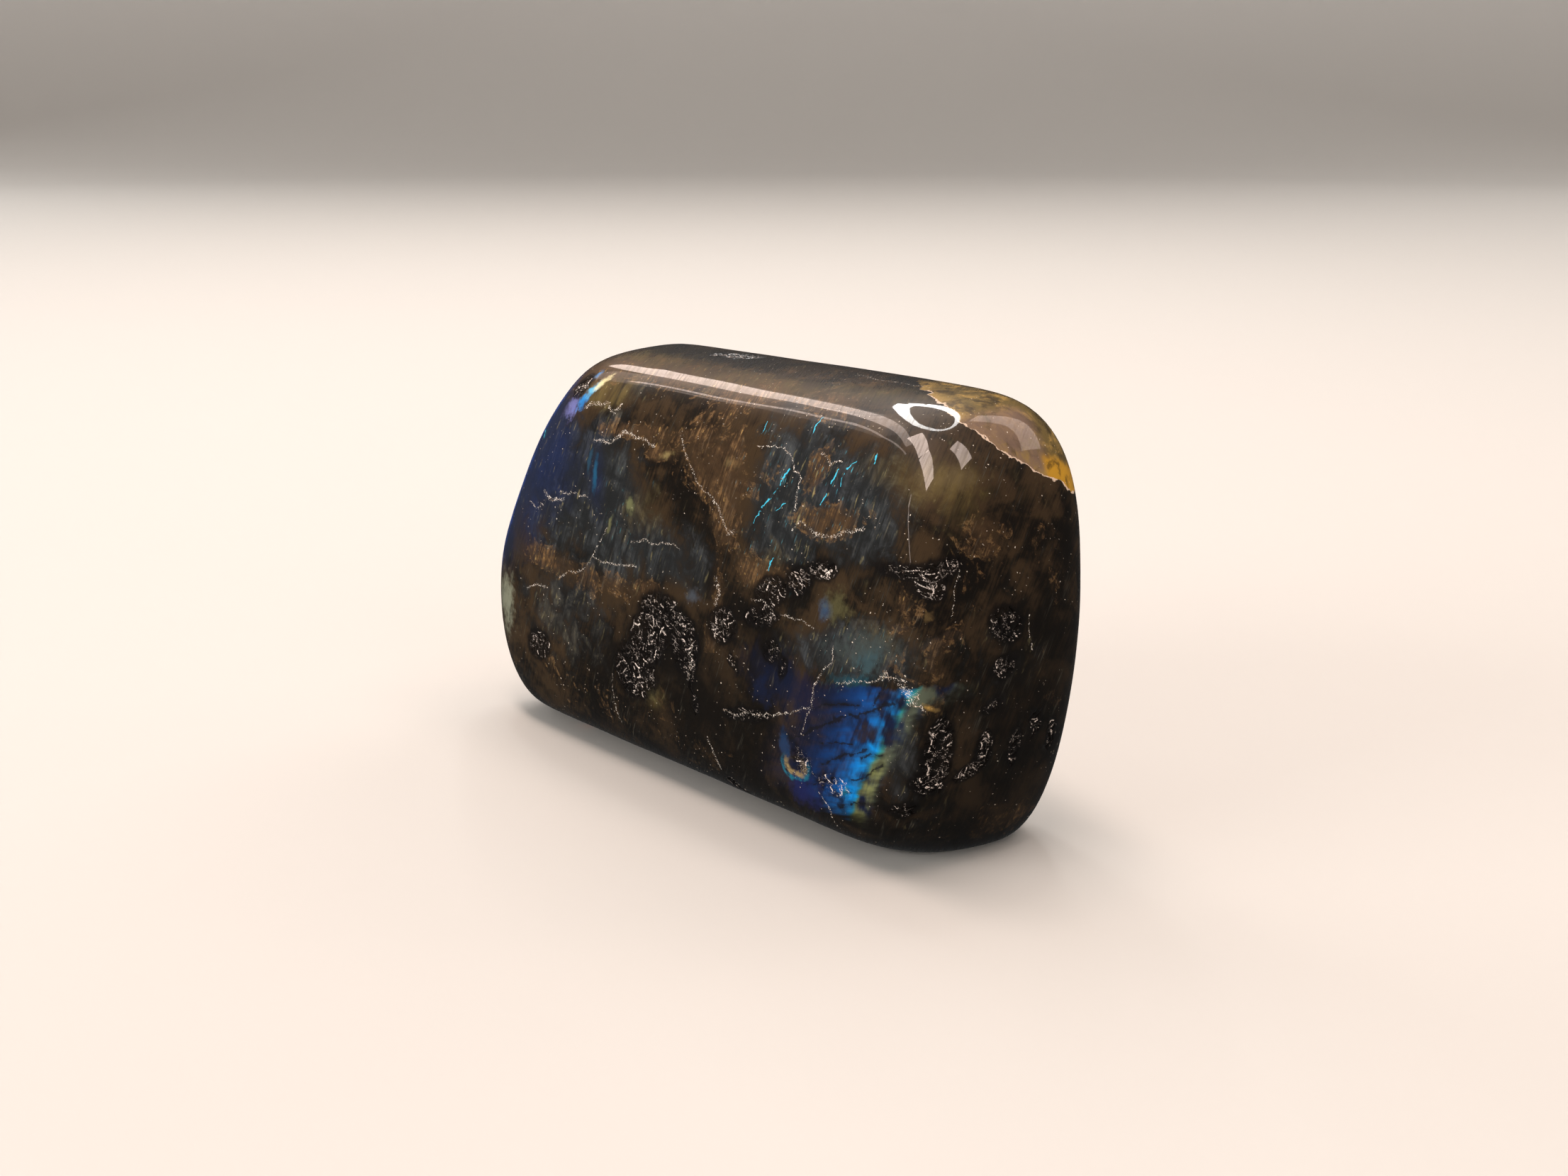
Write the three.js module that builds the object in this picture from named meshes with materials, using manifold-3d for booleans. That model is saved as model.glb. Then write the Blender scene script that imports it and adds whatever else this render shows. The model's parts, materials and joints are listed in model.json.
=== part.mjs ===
// A polished labradorite freeform: one block of feldspar, ground by hand to a rounded slab that
// stands on a flat base. The broad front looks along -Y and meets the narrow right end, which looks
// along +X, in a crisp upright crest. The other edges are worn round by the polishing wheel, and
// patches of small pits are left where softer grains were plucked out of the stone.
// Millimetres, +Z up. The origin lies on the base, under the middle of the stone's outline.

import * as THREE from "three";
import { mergeVertices } from "three/addons/utils/BufferGeometryUtils.js";
import Module from "manifold-3d";

const wasm = await Module();
wasm.setup();

// The point inside the stone that every ground face is measured from. Its height is also how deep
// below it the stone is sawn flat.
const HEART = new THREE.Vector3(4, -0.1, 38);

// Ground faces. turn is the compass direction a face looks in, in degrees from +X towards +Y.
// tilt is how far it looks upwards, in degrees. reach is its distance from the heart.
const CRISP_FACES = {
  front: { turn: -90, tilt: 1, reach: 21.5 },
  rightEnd: { turn: -5, tilt: -1, reach: 64 },
};
const WORN_FACES = {
  leftEnd: { turn: 170, tilt: -8, reach: 71 },
  leftShoulder: { turn: 185, tilt: 31, reach: 62 },
  top: { turn: 180, tilt: 88.5, reach: 38.2 },
  topBack: { turn: 90, tilt: 44, reach: 37.5 },
  rightShoulder: { turn: 0, tilt: 55, reach: 64 },
  rightFoot: { turn: 0, tilt: -45, reach: 67 },
  backFoot: { turn: 90, tilt: -46, reach: 40.5 },
  base: { turn: 0, tilt: -90, reach: 41.5 },
};
const SOFT_FACES = {
  back: { turn: 90, tilt: -2, reach: 21.5 },
  topFront: { turn: -90, tilt: 38, reach: 34 },
  leftFront: { turn: -122, tilt: 13, reach: 59.5 },
  frontFoot: { turn: -90, tilt: -47, reach: 39.5 },
  rightBack: { turn: 56, tilt: 0, reach: 54.8 },
};

// How tightly the faces of each group meet: the higher the number, the sharper their edges
const CRISP_TIGHTNESS = 16;
const WORN_TIGHTNESS = 24;
const SOFT_TIGHTNESS = 7;

// The rough block that the facets are laid out on, and the number of facets along each side.
// Crowding draws their lines towards the block's edges, where the stone is round, from 0 to 1.
const BLOCK = { length: 135, depth: 44, height: 77 };
const FACETS = { along: 28, across: 12, up: 18 };
const CROWDING = 0.7;

// Sides that the pits are placed on: the outward direction, and the two directions that measure
// across and up that side from the origin
const X = new THREE.Vector3(1, 0, 0);
const Y = new THREE.Vector3(0, 1, 0);
const Z = new THREE.Vector3(0, 0, 1);
const SIDES = {
  front: { out: Y.clone().negate(), across: X, up: Z },
  right: { out: X, across: Y, up: Z },
  back: { out: Y, across: X, up: Z },
  left: { out: X.clone().negate(), across: Y, up: Z },
  top: { out: Z, across: X, up: Y },
};

// Patches of pits. at is the middle of the patch on its side, size its width and height, and lean
// its turn in degrees. length is the mean length of one pit.
const PIT_PATCHES = [
  { side: "front", at: [-11.3, 22.3], size: [12.5, 12.5], lean: 8, pits: 15, length: 1.9 },
  { side: "front", at: [-1, 31.3], size: [17, 8], lean: 5, pits: 14, length: 1.8 },
  { side: "front", at: [5.8, 26.2], size: [1.2, 7], lean: 0, pits: 3, length: 2 },
  { side: "front", at: [15.5, 35.5], size: [9, 5], lean: 30, pits: 7, length: 1.6 },
  { side: "front", at: [25.5, 41.2], size: [9, 3.5], lean: 20, pits: 5, length: 1.5 },
  { side: "front", at: [35.4, 45.6], size: [5.5, 3], lean: 40, pits: 4, length: 1.5 },
  { side: "front", at: [44.6, 50], size: [6, 2], lean: 10, pits: 4, length: 1.5 },
  { side: "front", at: [28.9, 34.4], size: [4, 3], lean: 30, pits: 3, length: 1.4 },
  { side: "front", at: [36.5, 15.5], size: [5.5, 3.5], lean: -35, pits: 4, length: 1.5 },
  { side: "front", at: [44.5, 13.2], size: [7.5, 3], lean: 5, pits: 5, length: 1.4 },
  { side: "front", at: [22, 20.2], size: [14, 1.2], lean: 12, pits: 4, length: 1.4 },
  { side: "front", at: [-37, 69.4], size: [4, 3], lean: 30, pits: 3, length: 2.6 },
  { side: "front", at: [-44, 18.4], size: [9, 3], lean: 15, pits: 4, length: 1.3 },
  { side: "right", at: [-17.4, 53.6], size: [7.5, 1.8], lean: 10, pits: 6, length: 1.6 },
  { side: "right", at: [-18.4, 50.2], size: [2.2, 3], lean: 0, pits: 3, length: 1.5 },
  { side: "right", at: [-16.8, 25], size: [4, 9], lean: 4, pits: 9, length: 1.6 },
  { side: "right", at: [-16.4, 17.6], size: [6, 2.4], lean: -20, pits: 4, length: 1.5 },
  { side: "right", at: [-6.2, 22], size: [2.2, 7], lean: 8, pits: 5, length: 1.4 },
  { side: "right", at: [-8.6, 18.4], size: [5.5, 1.6], lean: 6, pits: 4, length: 1.5 },
  { side: "right", at: [-4.4, 43.4], size: [7.5, 5.5], lean: -35, pits: 7, length: 1.4 },
  { side: "right", at: [-1.6, 36], size: [4, 4], lean: 0, pits: 3, length: 1.4 },
  { side: "right", at: [5, 22.4], size: [8, 5], lean: -25, pits: 5, length: 1.3 },
  { side: "back", at: [-22, 45], size: [15, 11], lean: 20, pits: 12, length: 1.8 },
  { side: "back", at: [27, 26], size: [13, 9], lean: -35, pits: 9, length: 1.7 },
  { side: "left", at: [3, 34], size: [7, 11], lean: 12, pits: 6, length: 1.6 },
  { side: "top", at: [-16, 6], size: [12, 5], lean: 14, pits: 5, length: 1.6 },
];

// One pit: its width and depth as shares of its length, and how much pits differ in length
const PIT_WIDTH_SHARE = 0.55;
const PIT_DEPTH_SHARE = 0.36;
const PIT_LENGTH_SPREAD = 0.35;
const PIT_SEED = 41;

const STONE_COLOUR = 0x2b241d;
const STONE_ROUGHNESS = 0.18;

// The ground surface. Going out from the heart, each face is passed at its own distance. A sum of
// high powers rounds the edge where two faces are passed at nearly the same distance.

function lookingOut({ turn, tilt }) {
  const turned = THREE.MathUtils.degToRad(turn);
  const tilted = THREE.MathUtils.degToRad(tilt);
  return new THREE.Vector3(
    Math.cos(turned) * Math.cos(tilted),
    Math.sin(turned) * Math.cos(tilted),
    Math.sin(tilted)
  );
}

function faceGroup(faces, tightness) {
  const planes = Object.values(faces).map((face) => ({ normal: lookingOut(face), reach: face.reach }));
  return { planes, tightness };
}

const FACE_GROUPS = [
  faceGroup(CRISP_FACES, CRISP_TIGHTNESS),
  faceGroup(WORN_FACES, WORN_TIGHTNESS),
  faceGroup(SOFT_FACES, SOFT_TIGHTNESS),
];

function reachAlong(direction) {
  let total = 0;
  for (const { planes, tightness } of FACE_GROUPS) {
    let group = 0;
    for (const { normal, reach } of planes) {
      group += Math.max(0, direction.dot(normal) / reach) ** tightness;
    }
    total += group ** (SOFT_TIGHTNESS / tightness);
  }
  return total ** (-1 / SOFT_TIGHTNESS);
}

// 1 on the surface, less inside and more outside
function shareOfReach(point) {
  const fromHeart = point.clone().sub(HEART);
  const distance = fromHeart.length();
  return distance / reachAlong(fromHeart.divideScalar(distance));
}

// The stone before it has pits

function onlyPositions(geometry) {
  geometry.deleteAttribute("normal");
  geometry.deleteAttribute("uv");
  return mergeVertices(geometry);
}

function crowded(share) {
  return THREE.MathUtils.lerp(share, Math.sin((share * Math.PI) / 2), CROWDING);
}

function groundBlock() {
  const geometry = onlyPositions(new THREE.BoxGeometry(2, 2, 2, FACETS.along, FACETS.across, FACETS.up));
  const position = geometry.getAttribute("position");
  for (let i = 0; i < position.count; i++) {
    const direction = new THREE.Vector3(
      crowded(position.getX(i)) * BLOCK.length,
      crowded(position.getY(i)) * BLOCK.depth,
      crowded(position.getZ(i)) * BLOCK.height
    ).normalize();
    const point = HEART.clone().addScaledVector(direction, reachAlong(direction));
    position.setXYZ(i, point.x, point.y, point.z);
  }
  return geometry;
}

// What the saw takes off below the base
function sawnOffBelow() {
  const geometry = onlyPositions(new THREE.BoxGeometry(2 * BLOCK.length, 2 * BLOCK.depth, BLOCK.height));
  return geometry.translate(0, 0, -BLOCK.height / 2);
}

// Pits

// The surface point over a place on a side, found by halving the distance to it
function pointOnSide({ out, across, up }, distanceAcross, distanceUp) {
  const start = new THREE.Vector3();
  start.addScaledVector(across, distanceAcross);
  start.addScaledVector(up, distanceUp);
  let inner = 0;
  let outer = BLOCK.length;
  for (let step = 0; step < 40; step++) {
    const between = (inner + outer) / 2;
    if (shareOfReach(start.clone().addScaledVector(out, between)) < 1) {
      inner = between;
    } else {
      outer = between;
    }
  }
  return start.addScaledVector(out, inner);
}

function outwardAt(point) {
  const nudge = 0.01;
  const slopeAlong = (axis) => {
    const ahead = point.clone().addScaledVector(axis, nudge);
    const behind = point.clone().addScaledVector(axis, -nudge);
    return shareOfReach(ahead) - shareOfReach(behind);
  };
  return new THREE.Vector3(slopeAlong(X), slopeAlong(Y), slopeAlong(Z)).normalize();
}

function pitCutter(point, length, turn) {
  const geometry = onlyPositions(new THREE.IcosahedronGeometry(1));
  geometry.rotateX(turn);
  geometry.scale(length / 2, (length / 2) * PIT_WIDTH_SHARE, length * PIT_DEPTH_SHARE);
  geometry.rotateZ(turn);
  geometry.applyQuaternion(new THREE.Quaternion().setFromUnitVectors(Z, outwardAt(point)));
  return geometry.translate(point.x, point.y, point.z);
}

// Pits lie on a sunflower spiral, which fills the patch evenly
function pitCutters(patch, random) {
  const goldenAngle = Math.PI * (3 - Math.sqrt(5));
  const lean = THREE.MathUtils.degToRad(patch.lean);
  const [width, height] = patch.size;
  const cutters = [];
  for (let i = 0; i < patch.pits; i++) {
    const distance = Math.sqrt((i + random()) / patch.pits) / 2;
    const along = Math.cos(i * goldenAngle) * distance * width;
    const over = Math.sin(i * goldenAngle) * distance * height;
    const across = patch.at[0] + along * Math.cos(lean) - over * Math.sin(lean);
    const up = patch.at[1] + along * Math.sin(lean) + over * Math.cos(lean);
    const length = patch.length * (1 + PIT_LENGTH_SPREAD * (2 * random() - 1));
    cutters.push(pitCutter(pointOnSide(SIDES[patch.side], across, up), length, random() * Math.PI));
  }
  return cutters;
}

// Solids

function solidFrom(geometry) {
  const vertProperties = new Float32Array(geometry.getAttribute("position").array);
  const triVerts = new Uint32Array(geometry.getIndex().array);
  return new wasm.Manifold(new wasm.Mesh({ numProp: 3, vertProperties, triVerts }));
}

function geometryFrom(solid) {
  const { vertProperties, triVerts } = solid.getMesh();
  const geometry = new THREE.BufferGeometry();
  geometry.setAttribute("position", new THREE.BufferAttribute(vertProperties, 3));
  geometry.setIndex(new THREE.BufferAttribute(triVerts, 1));
  geometry.computeVertexNormals();
  return geometry;
}

function polishedStone() {
  THREE.MathUtils.seededRandom(PIT_SEED);
  const random = () => THREE.MathUtils.seededRandom();
  let solid = solidFrom(groundBlock()).subtract(solidFrom(sawnOffBelow()));
  for (const patch of PIT_PATCHES) {
    for (const cutter of pitCutters(patch, random)) {
      solid = solid.subtract(solidFrom(cutter));
    }
  }
  return geometryFrom(solid);
}

const stone = new THREE.Mesh(
  polishedStone(),
  new THREE.MeshStandardMaterial({ color: STONE_COLOUR, roughness: STONE_ROUGHNESS, metalness: 0 })
);
stone.name = "polished_stone";

const labradorite = new THREE.Group();
labradorite.add(stone);

export default labradorite;
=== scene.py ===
# %% [markdown]
# # A polished labradorite, from its ground shape to its blue fire
#
# The real object is one piece of feldspar rock. It was sawn flat underneath and ground by hand to a
# rounded slab with a crisp upright crest, then polished until it shines like glass. Everything that
# can be seen is that one skin, so this lesson makes one mesh and gives it one rich material.
#
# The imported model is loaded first. It fixes the size and the place, and nothing here moves it.

import json
import math

import bmesh
import bpy
import numpy as np
from mathutils import Matrix, Vector

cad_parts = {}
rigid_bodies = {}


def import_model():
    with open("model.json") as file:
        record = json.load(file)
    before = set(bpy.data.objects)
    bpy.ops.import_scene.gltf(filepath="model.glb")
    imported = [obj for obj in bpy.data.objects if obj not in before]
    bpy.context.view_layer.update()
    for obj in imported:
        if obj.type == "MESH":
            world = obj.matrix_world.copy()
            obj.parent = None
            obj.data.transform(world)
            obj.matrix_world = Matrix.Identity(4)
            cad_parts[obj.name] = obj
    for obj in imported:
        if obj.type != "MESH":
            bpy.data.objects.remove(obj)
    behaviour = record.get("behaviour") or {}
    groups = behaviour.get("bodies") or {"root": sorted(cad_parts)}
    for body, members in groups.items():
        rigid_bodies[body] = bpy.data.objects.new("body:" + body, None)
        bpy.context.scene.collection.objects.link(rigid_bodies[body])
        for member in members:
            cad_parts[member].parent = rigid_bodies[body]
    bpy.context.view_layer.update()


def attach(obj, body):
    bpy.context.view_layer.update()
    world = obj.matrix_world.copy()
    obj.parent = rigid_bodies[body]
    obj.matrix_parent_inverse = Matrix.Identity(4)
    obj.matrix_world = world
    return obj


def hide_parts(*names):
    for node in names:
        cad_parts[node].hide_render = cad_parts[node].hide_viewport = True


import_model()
MM = 0.001

# %% [markdown]
# ## The camera
#
# The camera stands to the right of the front and looks a little down, so the front, the right end and
# a sliver of the top all show. A camera can be placed by hand, but a turn, a lift and a distance round
# a target are easier to measure from a photograph and easier to correct.

# %% Place the camera
CAMERA_TARGET = Vector((5.5, -0.1, 36)) * MM
CAMERA_TURN = math.radians(51)
CAMERA_LIFT = math.radians(14.5)
CAMERA_DISTANCE = 398 * MM
CAMERA_LENS = 50
SENSOR_WIDTH = 36
NEAREST_SEEN = 10 * MM

towards_camera = Vector((
    math.sin(CAMERA_TURN) * math.cos(CAMERA_LIFT),
    -math.cos(CAMERA_TURN) * math.cos(CAMERA_LIFT),
    math.sin(CAMERA_LIFT),
))
camera = bpy.data.objects.new("camera", bpy.data.cameras.new("camera"))
camera.data.lens = CAMERA_LENS
camera.data.sensor_width = SENSOR_WIDTH
camera.data.clip_start = NEAREST_SEEN
camera.location = CAMERA_TARGET + towards_camera * CAMERA_DISTANCE
camera.rotation_euler = (-towards_camera).to_track_quat("-Z", "Y").to_euler()
bpy.context.scene.collection.objects.link(camera)
bpy.context.scene.camera = camera
print("camera at", [round(number, 3) for number in camera.location])

# %% [markdown]
# ## The ground surface
#
# A lapidary presses the stone against a wheel, one face after another, and lets the edges run round.
# The form could be sculpted, or carved from a box with bevels. A rule is exact instead: going out
# from the stone's heart, every ground face is met at its own reach, and a sum of high powers rounds
# the edge where two faces are met at nearly the same distance. A higher power gives a crisper edge.
# The solid model is made by the same rule and the same numbers, in millimetres, so the skin fits it.

# %% The faces and the rule
HEART = np.array([4, -0.1, 38])
# Each face: the way it looks, in degrees from +X towards +Y, its upward tilt, and its reach
CRISP_FACES = {
    "front": (-90, 1, 21.5),
    "right end": (-5, -1, 64),
}
WORN_FACES = {
    "left end": (170, -8, 71),
    "left shoulder": (185, 31, 62),
    "top": (180, 88.5, 38.2),
    "top back": (90, 44, 37.5),
    "right shoulder": (0, 55, 64),
    "right foot": (0, -45, 67),
    "back foot": (90, -46, 40.5),
    "base": (0, -90, 41.5),
}
SOFT_FACES = {
    "back": (90, -2, 21.5),
    "top front": (-90, 38, 34),
    "left front": (-122, 13, 59.5),
    "front foot": (-90, -47, 39.5),
    "right back": (56, 0, 54.8),
}
CRISP_TIGHTNESS = 16
WORN_TIGHTNESS = 24
SOFT_TIGHTNESS = 7


def looking_out(turn, tilt):
    turn, tilt = np.radians([turn, tilt])
    return np.array([np.cos(turn) * np.cos(tilt), np.sin(turn) * np.cos(tilt), np.sin(tilt)])


def face_group(faces, tightness):
    slopes = np.array([looking_out(turn, tilt) / reach for turn, tilt, reach in faces.values()])
    return slopes, tightness


FACE_GROUPS = [
    face_group(CRISP_FACES, CRISP_TIGHTNESS),
    face_group(WORN_FACES, WORN_TIGHTNESS),
    face_group(SOFT_FACES, SOFT_TIGHTNESS),
]


def reach_along(directions):
    total = 0
    for slopes, tightness in FACE_GROUPS:
        shares = np.maximum(0, directions @ slopes.T)
        total = total + (shares ** tightness).sum(axis=1) ** (SOFT_TIGHTNESS / tightness)
    return total ** (-1 / SOFT_TIGHTNESS)


def onto_surface(places):
    rays = places - HEART
    directions = rays / np.linalg.norm(rays, axis=1)[:, None]
    return HEART + directions * reach_along(directions)[:, None]


def share_of_reach(places):
    rays = places - HEART
    lengths = np.linalg.norm(rays, axis=1)
    return lengths / reach_along(rays / lengths[:, None])


def outward_at(places):
    nudge = 0.02
    slopes = [share_of_reach(places + step) - share_of_reach(places - step) for step in np.eye(3) * nudge]
    slopes = np.stack(slopes, axis=1)
    return slopes / np.linalg.norm(slopes, axis=1)[:, None]


print("reach straight up in mm:", round(float(reach_along(np.array([[0, 0, 1]]))[0]), 2))

# %% [markdown]
# ## Rough block to ground stone
#
# A bmesh cube is the rough block. Its edges are cut in three passes, one for each direction, so every
# side is an even net. The lines are then crowded towards the block's own edges, because that is where
# the finished stone is round and needs them. Last, each vertex slides along its ray onto the ground
# surface. The block is twice the stone's size, and only the direction of each ray matters. A round
# ball of points would do too, but its poles would leave stars in the polish.

# %% Cut the block and grind it
HALF_BLOCK = np.array([135, 44, 77])
CUTS = (104, 38, 62)
CROWDING = 0.7
WAVE_HEIGHT = 0.035
# way the wave runs, wave length in mm, share of the height, start
HAND_WAVES = [
    ((0.9, 0.2, 0.3), 31, 1.0, 0.4),
    ((0.3, -0.4, 0.9), 23, 0.8, 2.1),
    ((-0.5, 0.9, 0.4), 17, 0.5, 4.0),
    ((0.6, 0.5, -0.6), 12, 0.3, 1.2),
]


def cut_along(mesh, axis, cuts):
    def runs_along(edge):
        step = edge.verts[1].co - edge.verts[0].co
        return abs(step[axis]) > 0.5 * step.length

    edges = [edge for edge in mesh.edges if runs_along(edge)]
    bmesh.ops.subdivide_edges(mesh, edges=edges, cuts=cuts, use_grid_fill=True)


def places_of(mesh):
    return np.array([vert.co for vert in mesh.verts])


def move_to(mesh, places):
    for vert, place in zip(mesh.verts, places):
        vert.co = place


def crowded(shares):
    return (1 - CROWDING) * shares + CROWDING * np.sin(shares * np.pi / 2)


def hand_waves(places):
    """The slow waves left by hand grinding, added up, in mm."""
    height = 0
    for way, wave_length, share, start in HAND_WAVES:
        height = height + share * np.sin(places @ np.array(way) * 2 * np.pi / wave_length + start)
    return height * WAVE_HEIGHT


def ground(places):
    places = onto_surface(places)
    return places + outward_at(places) * hand_waves(places)[:, None]


skin = bmesh.new()
bmesh.ops.create_cube(skin, size=2)
for axis, cuts in enumerate(CUTS):
    cut_along(skin, axis, cuts)
move_to(skin, ground(HEART + crowded(places_of(skin)) * HALF_BLOCK))
print("ground stone:", len(skin.verts), "vertices,", len(skin.faces), "faces")

# %% [markdown]
# ## Sides, and places on them
#
# Everything on the stone is placed by two distances measured across and up one of its sides, as a
# lapidary would with a ruler. A place is pushed out along that side's direction until it meets the
# surface.

# %% Name the sides
SIDES = {
    # outward, across, up
    "front": ((0, -1, 0), (1, 0, 0), (0, 0, 1)),
    "right": ((1, 0, 0), (0, 1, 0), (0, 0, 1)),
    "back": ((0, 1, 0), (1, 0, 0), (0, 0, 1)),
    "left": ((-1, 0, 0), (0, 1, 0), (0, 0, 1)),
    "top": ((0, 0, 1), (1, 0, 0), (0, 1, 0)),
}
SIDES = {name: np.array(directions, dtype=float) for name, directions in SIDES.items()}
HALVINGS = 24


def on_side(side, across, up):
    outward, across_way, up_way = SIDES[side]
    starts = np.outer(np.atleast_1d(across), across_way) + np.outer(np.atleast_1d(up), up_way)
    inner = np.zeros(len(starts))
    outer = np.full(len(starts), float(HALF_BLOCK.max()))
    for _ in range(HALVINGS):
        between = (inner + outer) / 2
        inside = share_of_reach(starts + between[:, None] * outward) < 1
        inner = np.where(inside, between, inner)
        outer = np.where(inside, outer, between)
    return starts + inner[:, None] * outward


def turned(across, up, lean):
    lean = np.radians(lean)
    return across * np.cos(lean) - up * np.sin(lean), across * np.sin(lean) + up * np.cos(lean)


print("middle of the front:", on_side("front", 0, 38).round(1))

# %% [markdown]
# ## Where the stone is pitted
#
# Soft grains were plucked out by the wheel and left patches of tiny worm-like pits with dark stone
# between them. Bump alone would leave the outline of the mesh smooth and would be lost in the saved
# mesh, so the pits are real. Each patch is an oval on a side. A ring patch has a bare middle.

# %% List the pitted patches
# side, middle across and up, width and height, lean in degrees, pits, share of the oval left bare
PITTED = [
    ("front", (-11.5, 20.5), (12.5, 10.5), 8, 120, 0),
    ("front", (-7.5, 27.5), (11, 9), 12, 70, 0),
    ("front", (-3.5, 33.0), (12, 7), 5, 62, 0),
    ("front", (4.0, 29.0), (7.5, 11), 0, 62, 0),
    ("front", (5.9, 25.2), (1.0, 9), -2, 9, 0),
    ("front", (7.0, 18.4), (1.0, 3), 0, 3, 0),
    ("front", (15.2, 34.8), (8, 5.5), 30, 34, 0),
    ("front", (25.5, 38.5), (10, 2.6), 12, 14, 0),
    ("front", (28.3, 43.3), (9, 4.5), 25, 22, 0),
    ("front", (35.6, 46.6), (5.5, 3.6), 30, 22, 0),
    ("front", (41.5, 49.6), (6.5, 2.4), 12, 24, 0),
    ("front", (28.9, 33.2), (4, 3), 30, 10, 0),
    ("front", (32, 30.8), (1, 3), -25, 3, 0),
    ("front", (18, 28.8), (3.4, 0.9), -35, 3, 0),
    ("front", (36.5, 15.5), (5.5, 3.5), -35, 22, 0),
    ("front", (44.5, 13.2), (8.5, 3), 5, 26, 0),
    ("front", (22, 20.2), (14, 1.2), 12, 12, 0),
    ("front", (-37.6, 69.2), (3.6, 2.8), 30, 14, 0),
    ("front", (-45, 18.0), (8, 5), 15, 14, 0),
    ("front", (13, 4.2), (3, 2.6), 0, 8, 0),
    ("right", (-17.2, 53.4), (8.6, 1.8), 14, 34, 0),
    ("right", (-18.3, 50.6), (2.8, 2.6), 0, 12, 0),
    ("right", (-15.9, 22.8), (5, 13.5), 4, 64, 0.55),
    ("right", (-16.4, 17.4), (5.6, 2.4), -20, 16, 0),
    ("right", (-6.2, 22), (2.0, 7), 8, 20, 0),
    ("right", (-8.8, 18.4), (5.6, 1.8), 16, 18, 0),
    ("right", (-4.6, 43.2), (7.5, 5), -35, 20, 0),
    ("right", (-4.4, 36), (4, 3), 0, 10, 0),
    ("right", (-6.2, 29.6), (3.4, 1.2), 20, 6, 0),
    ("right", (0.4, 21.0), (1.6, 7), 4, 12, 0),
    ("right", (4.6, 24.6), (2, 4), 15, 8, 0),
    ("right", (9.6, 21.4), (1.6, 5), 4, 8, 0),
    ("right", (-18.1, 12.6), (2.0, 2), 0, 6, 0),
    ("back", (-22, 45), (15, 11), 20, 120, 0),
    ("back", (27, 26), (13, 9), -35, 84, 0.4),
    ("left", (3, 34), (7, 11), 12, 50, 0.5),
    ("top", (-16, 6), (12, 5), 14, 46, 0),
]
GOLDEN_ANGLE = np.pi * (3 - np.sqrt(5))
PATCH_DEPTH = 14
PATCH_MARGIN = 1.6
FAR_SHARE = 9.0


def oval_shares(places, side, middle, size, lean, reach_in=PATCH_DEPTH):
    """How far each place is from an oval's middle: 1 at its edge. Far behind the side, it is large."""
    outward, across_way, up_way = SIDES[side]
    centre = on_side(side, *middle)[0]
    away = places - centre
    across, up = turned(away @ across_way, away @ up_way, -lean)
    depth = away @ outward
    return np.sqrt((2 * across / size[0]) ** 2 + (2 * up / size[1]) ** 2 + (depth / reach_in) ** 4)


def pitted_shares(places):
    nearest = np.full(len(places), FAR_SHARE)
    for side, middle, size, lean, _, _ in PITTED:
        wider = (size[0] + PATCH_MARGIN, size[1] + PATCH_MARGIN)
        nearest = np.minimum(nearest, oval_shares(places, side, middle, wider, lean))
    return nearest


print("pitted patches:", len(PITTED), "with", sum(row[4] for row in PITTED), "pits")

# %% [markdown]
# A pit is about half a millimetre wide, so the net has to be much finer there than anywhere else.
# Subdividing only the edges inside the patches keeps the whole mesh light. The new points start on
# straight chords, so they are laid onto the surface again.

# %% Refine the net in the patches
PIT_CUTS = 7

edge_middles = np.array([(edge.verts[0].co + edge.verts[1].co) / 2 for edge in skin.edges])
in_patch = pitted_shares(edge_middles) < 1
patch_edges = [edge for edge, inside in zip(skin.edges, in_patch) if inside]
bmesh.ops.subdivide_edges(skin, edges=patch_edges, cuts=PIT_CUTS, use_grid_fill=True)
move_to(skin, ground(places_of(skin)))
print("after refining:", len(skin.verts), "vertices,", len(skin.faces), "faces")

# %% [markdown]
# ## The sawn base
#
# The stone stands on a flat saw cut. A bisecting plane trims everything below it, just as the saw
# does, and one face closes the hole. Its rim is marked sharp, so the polish doesn't shade across it.

# %% Saw the base flat
SAWN_HEIGHT = 0
ON_THE_SAW = 1e-5
MERGE_WITHIN = 0.02

bmesh.ops.bisect_plane(
    skin, geom=skin.verts[:] + skin.edges[:] + skin.faces[:], dist=ON_THE_SAW,
    plane_co=(0, 0, SAWN_HEIGHT), plane_no=(0, 0, 1), clear_inner=True,
)
bmesh.ops.remove_doubles(skin, verts=skin.verts[:], dist=MERGE_WITHIN)
rim = [edge for edge in skin.edges if edge.is_boundary]
base = bmesh.ops.contextual_create(skin, geom=rim)["faces"]
bmesh.ops.recalc_face_normals(skin, faces=skin.faces[:])
for face in skin.faces:
    face.smooth = True
for face in base:
    face.smooth = False
    for edge in face.edges:
        edge.smooth = False
open_edges = sum(edge.is_boundary for edge in skin.edges)
print("base faces:", len(base), "rim edges:", len(rim), "open edges:", open_edges)

# %% [markdown]
# ## The pits
#
# Each pit is a short bent groove, a little worm. The pits of a patch follow a sunflower spiral, which
# fills an oval evenly, and each is then nudged, turned and bent by seeded chance. A vertex sinks by
# how near it is to the groove's line: flat at the bottom, steep at the wall. Two values are kept for
# the material: how deep in a pit a point is, and how pale that pit's torn floor is.

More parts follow.
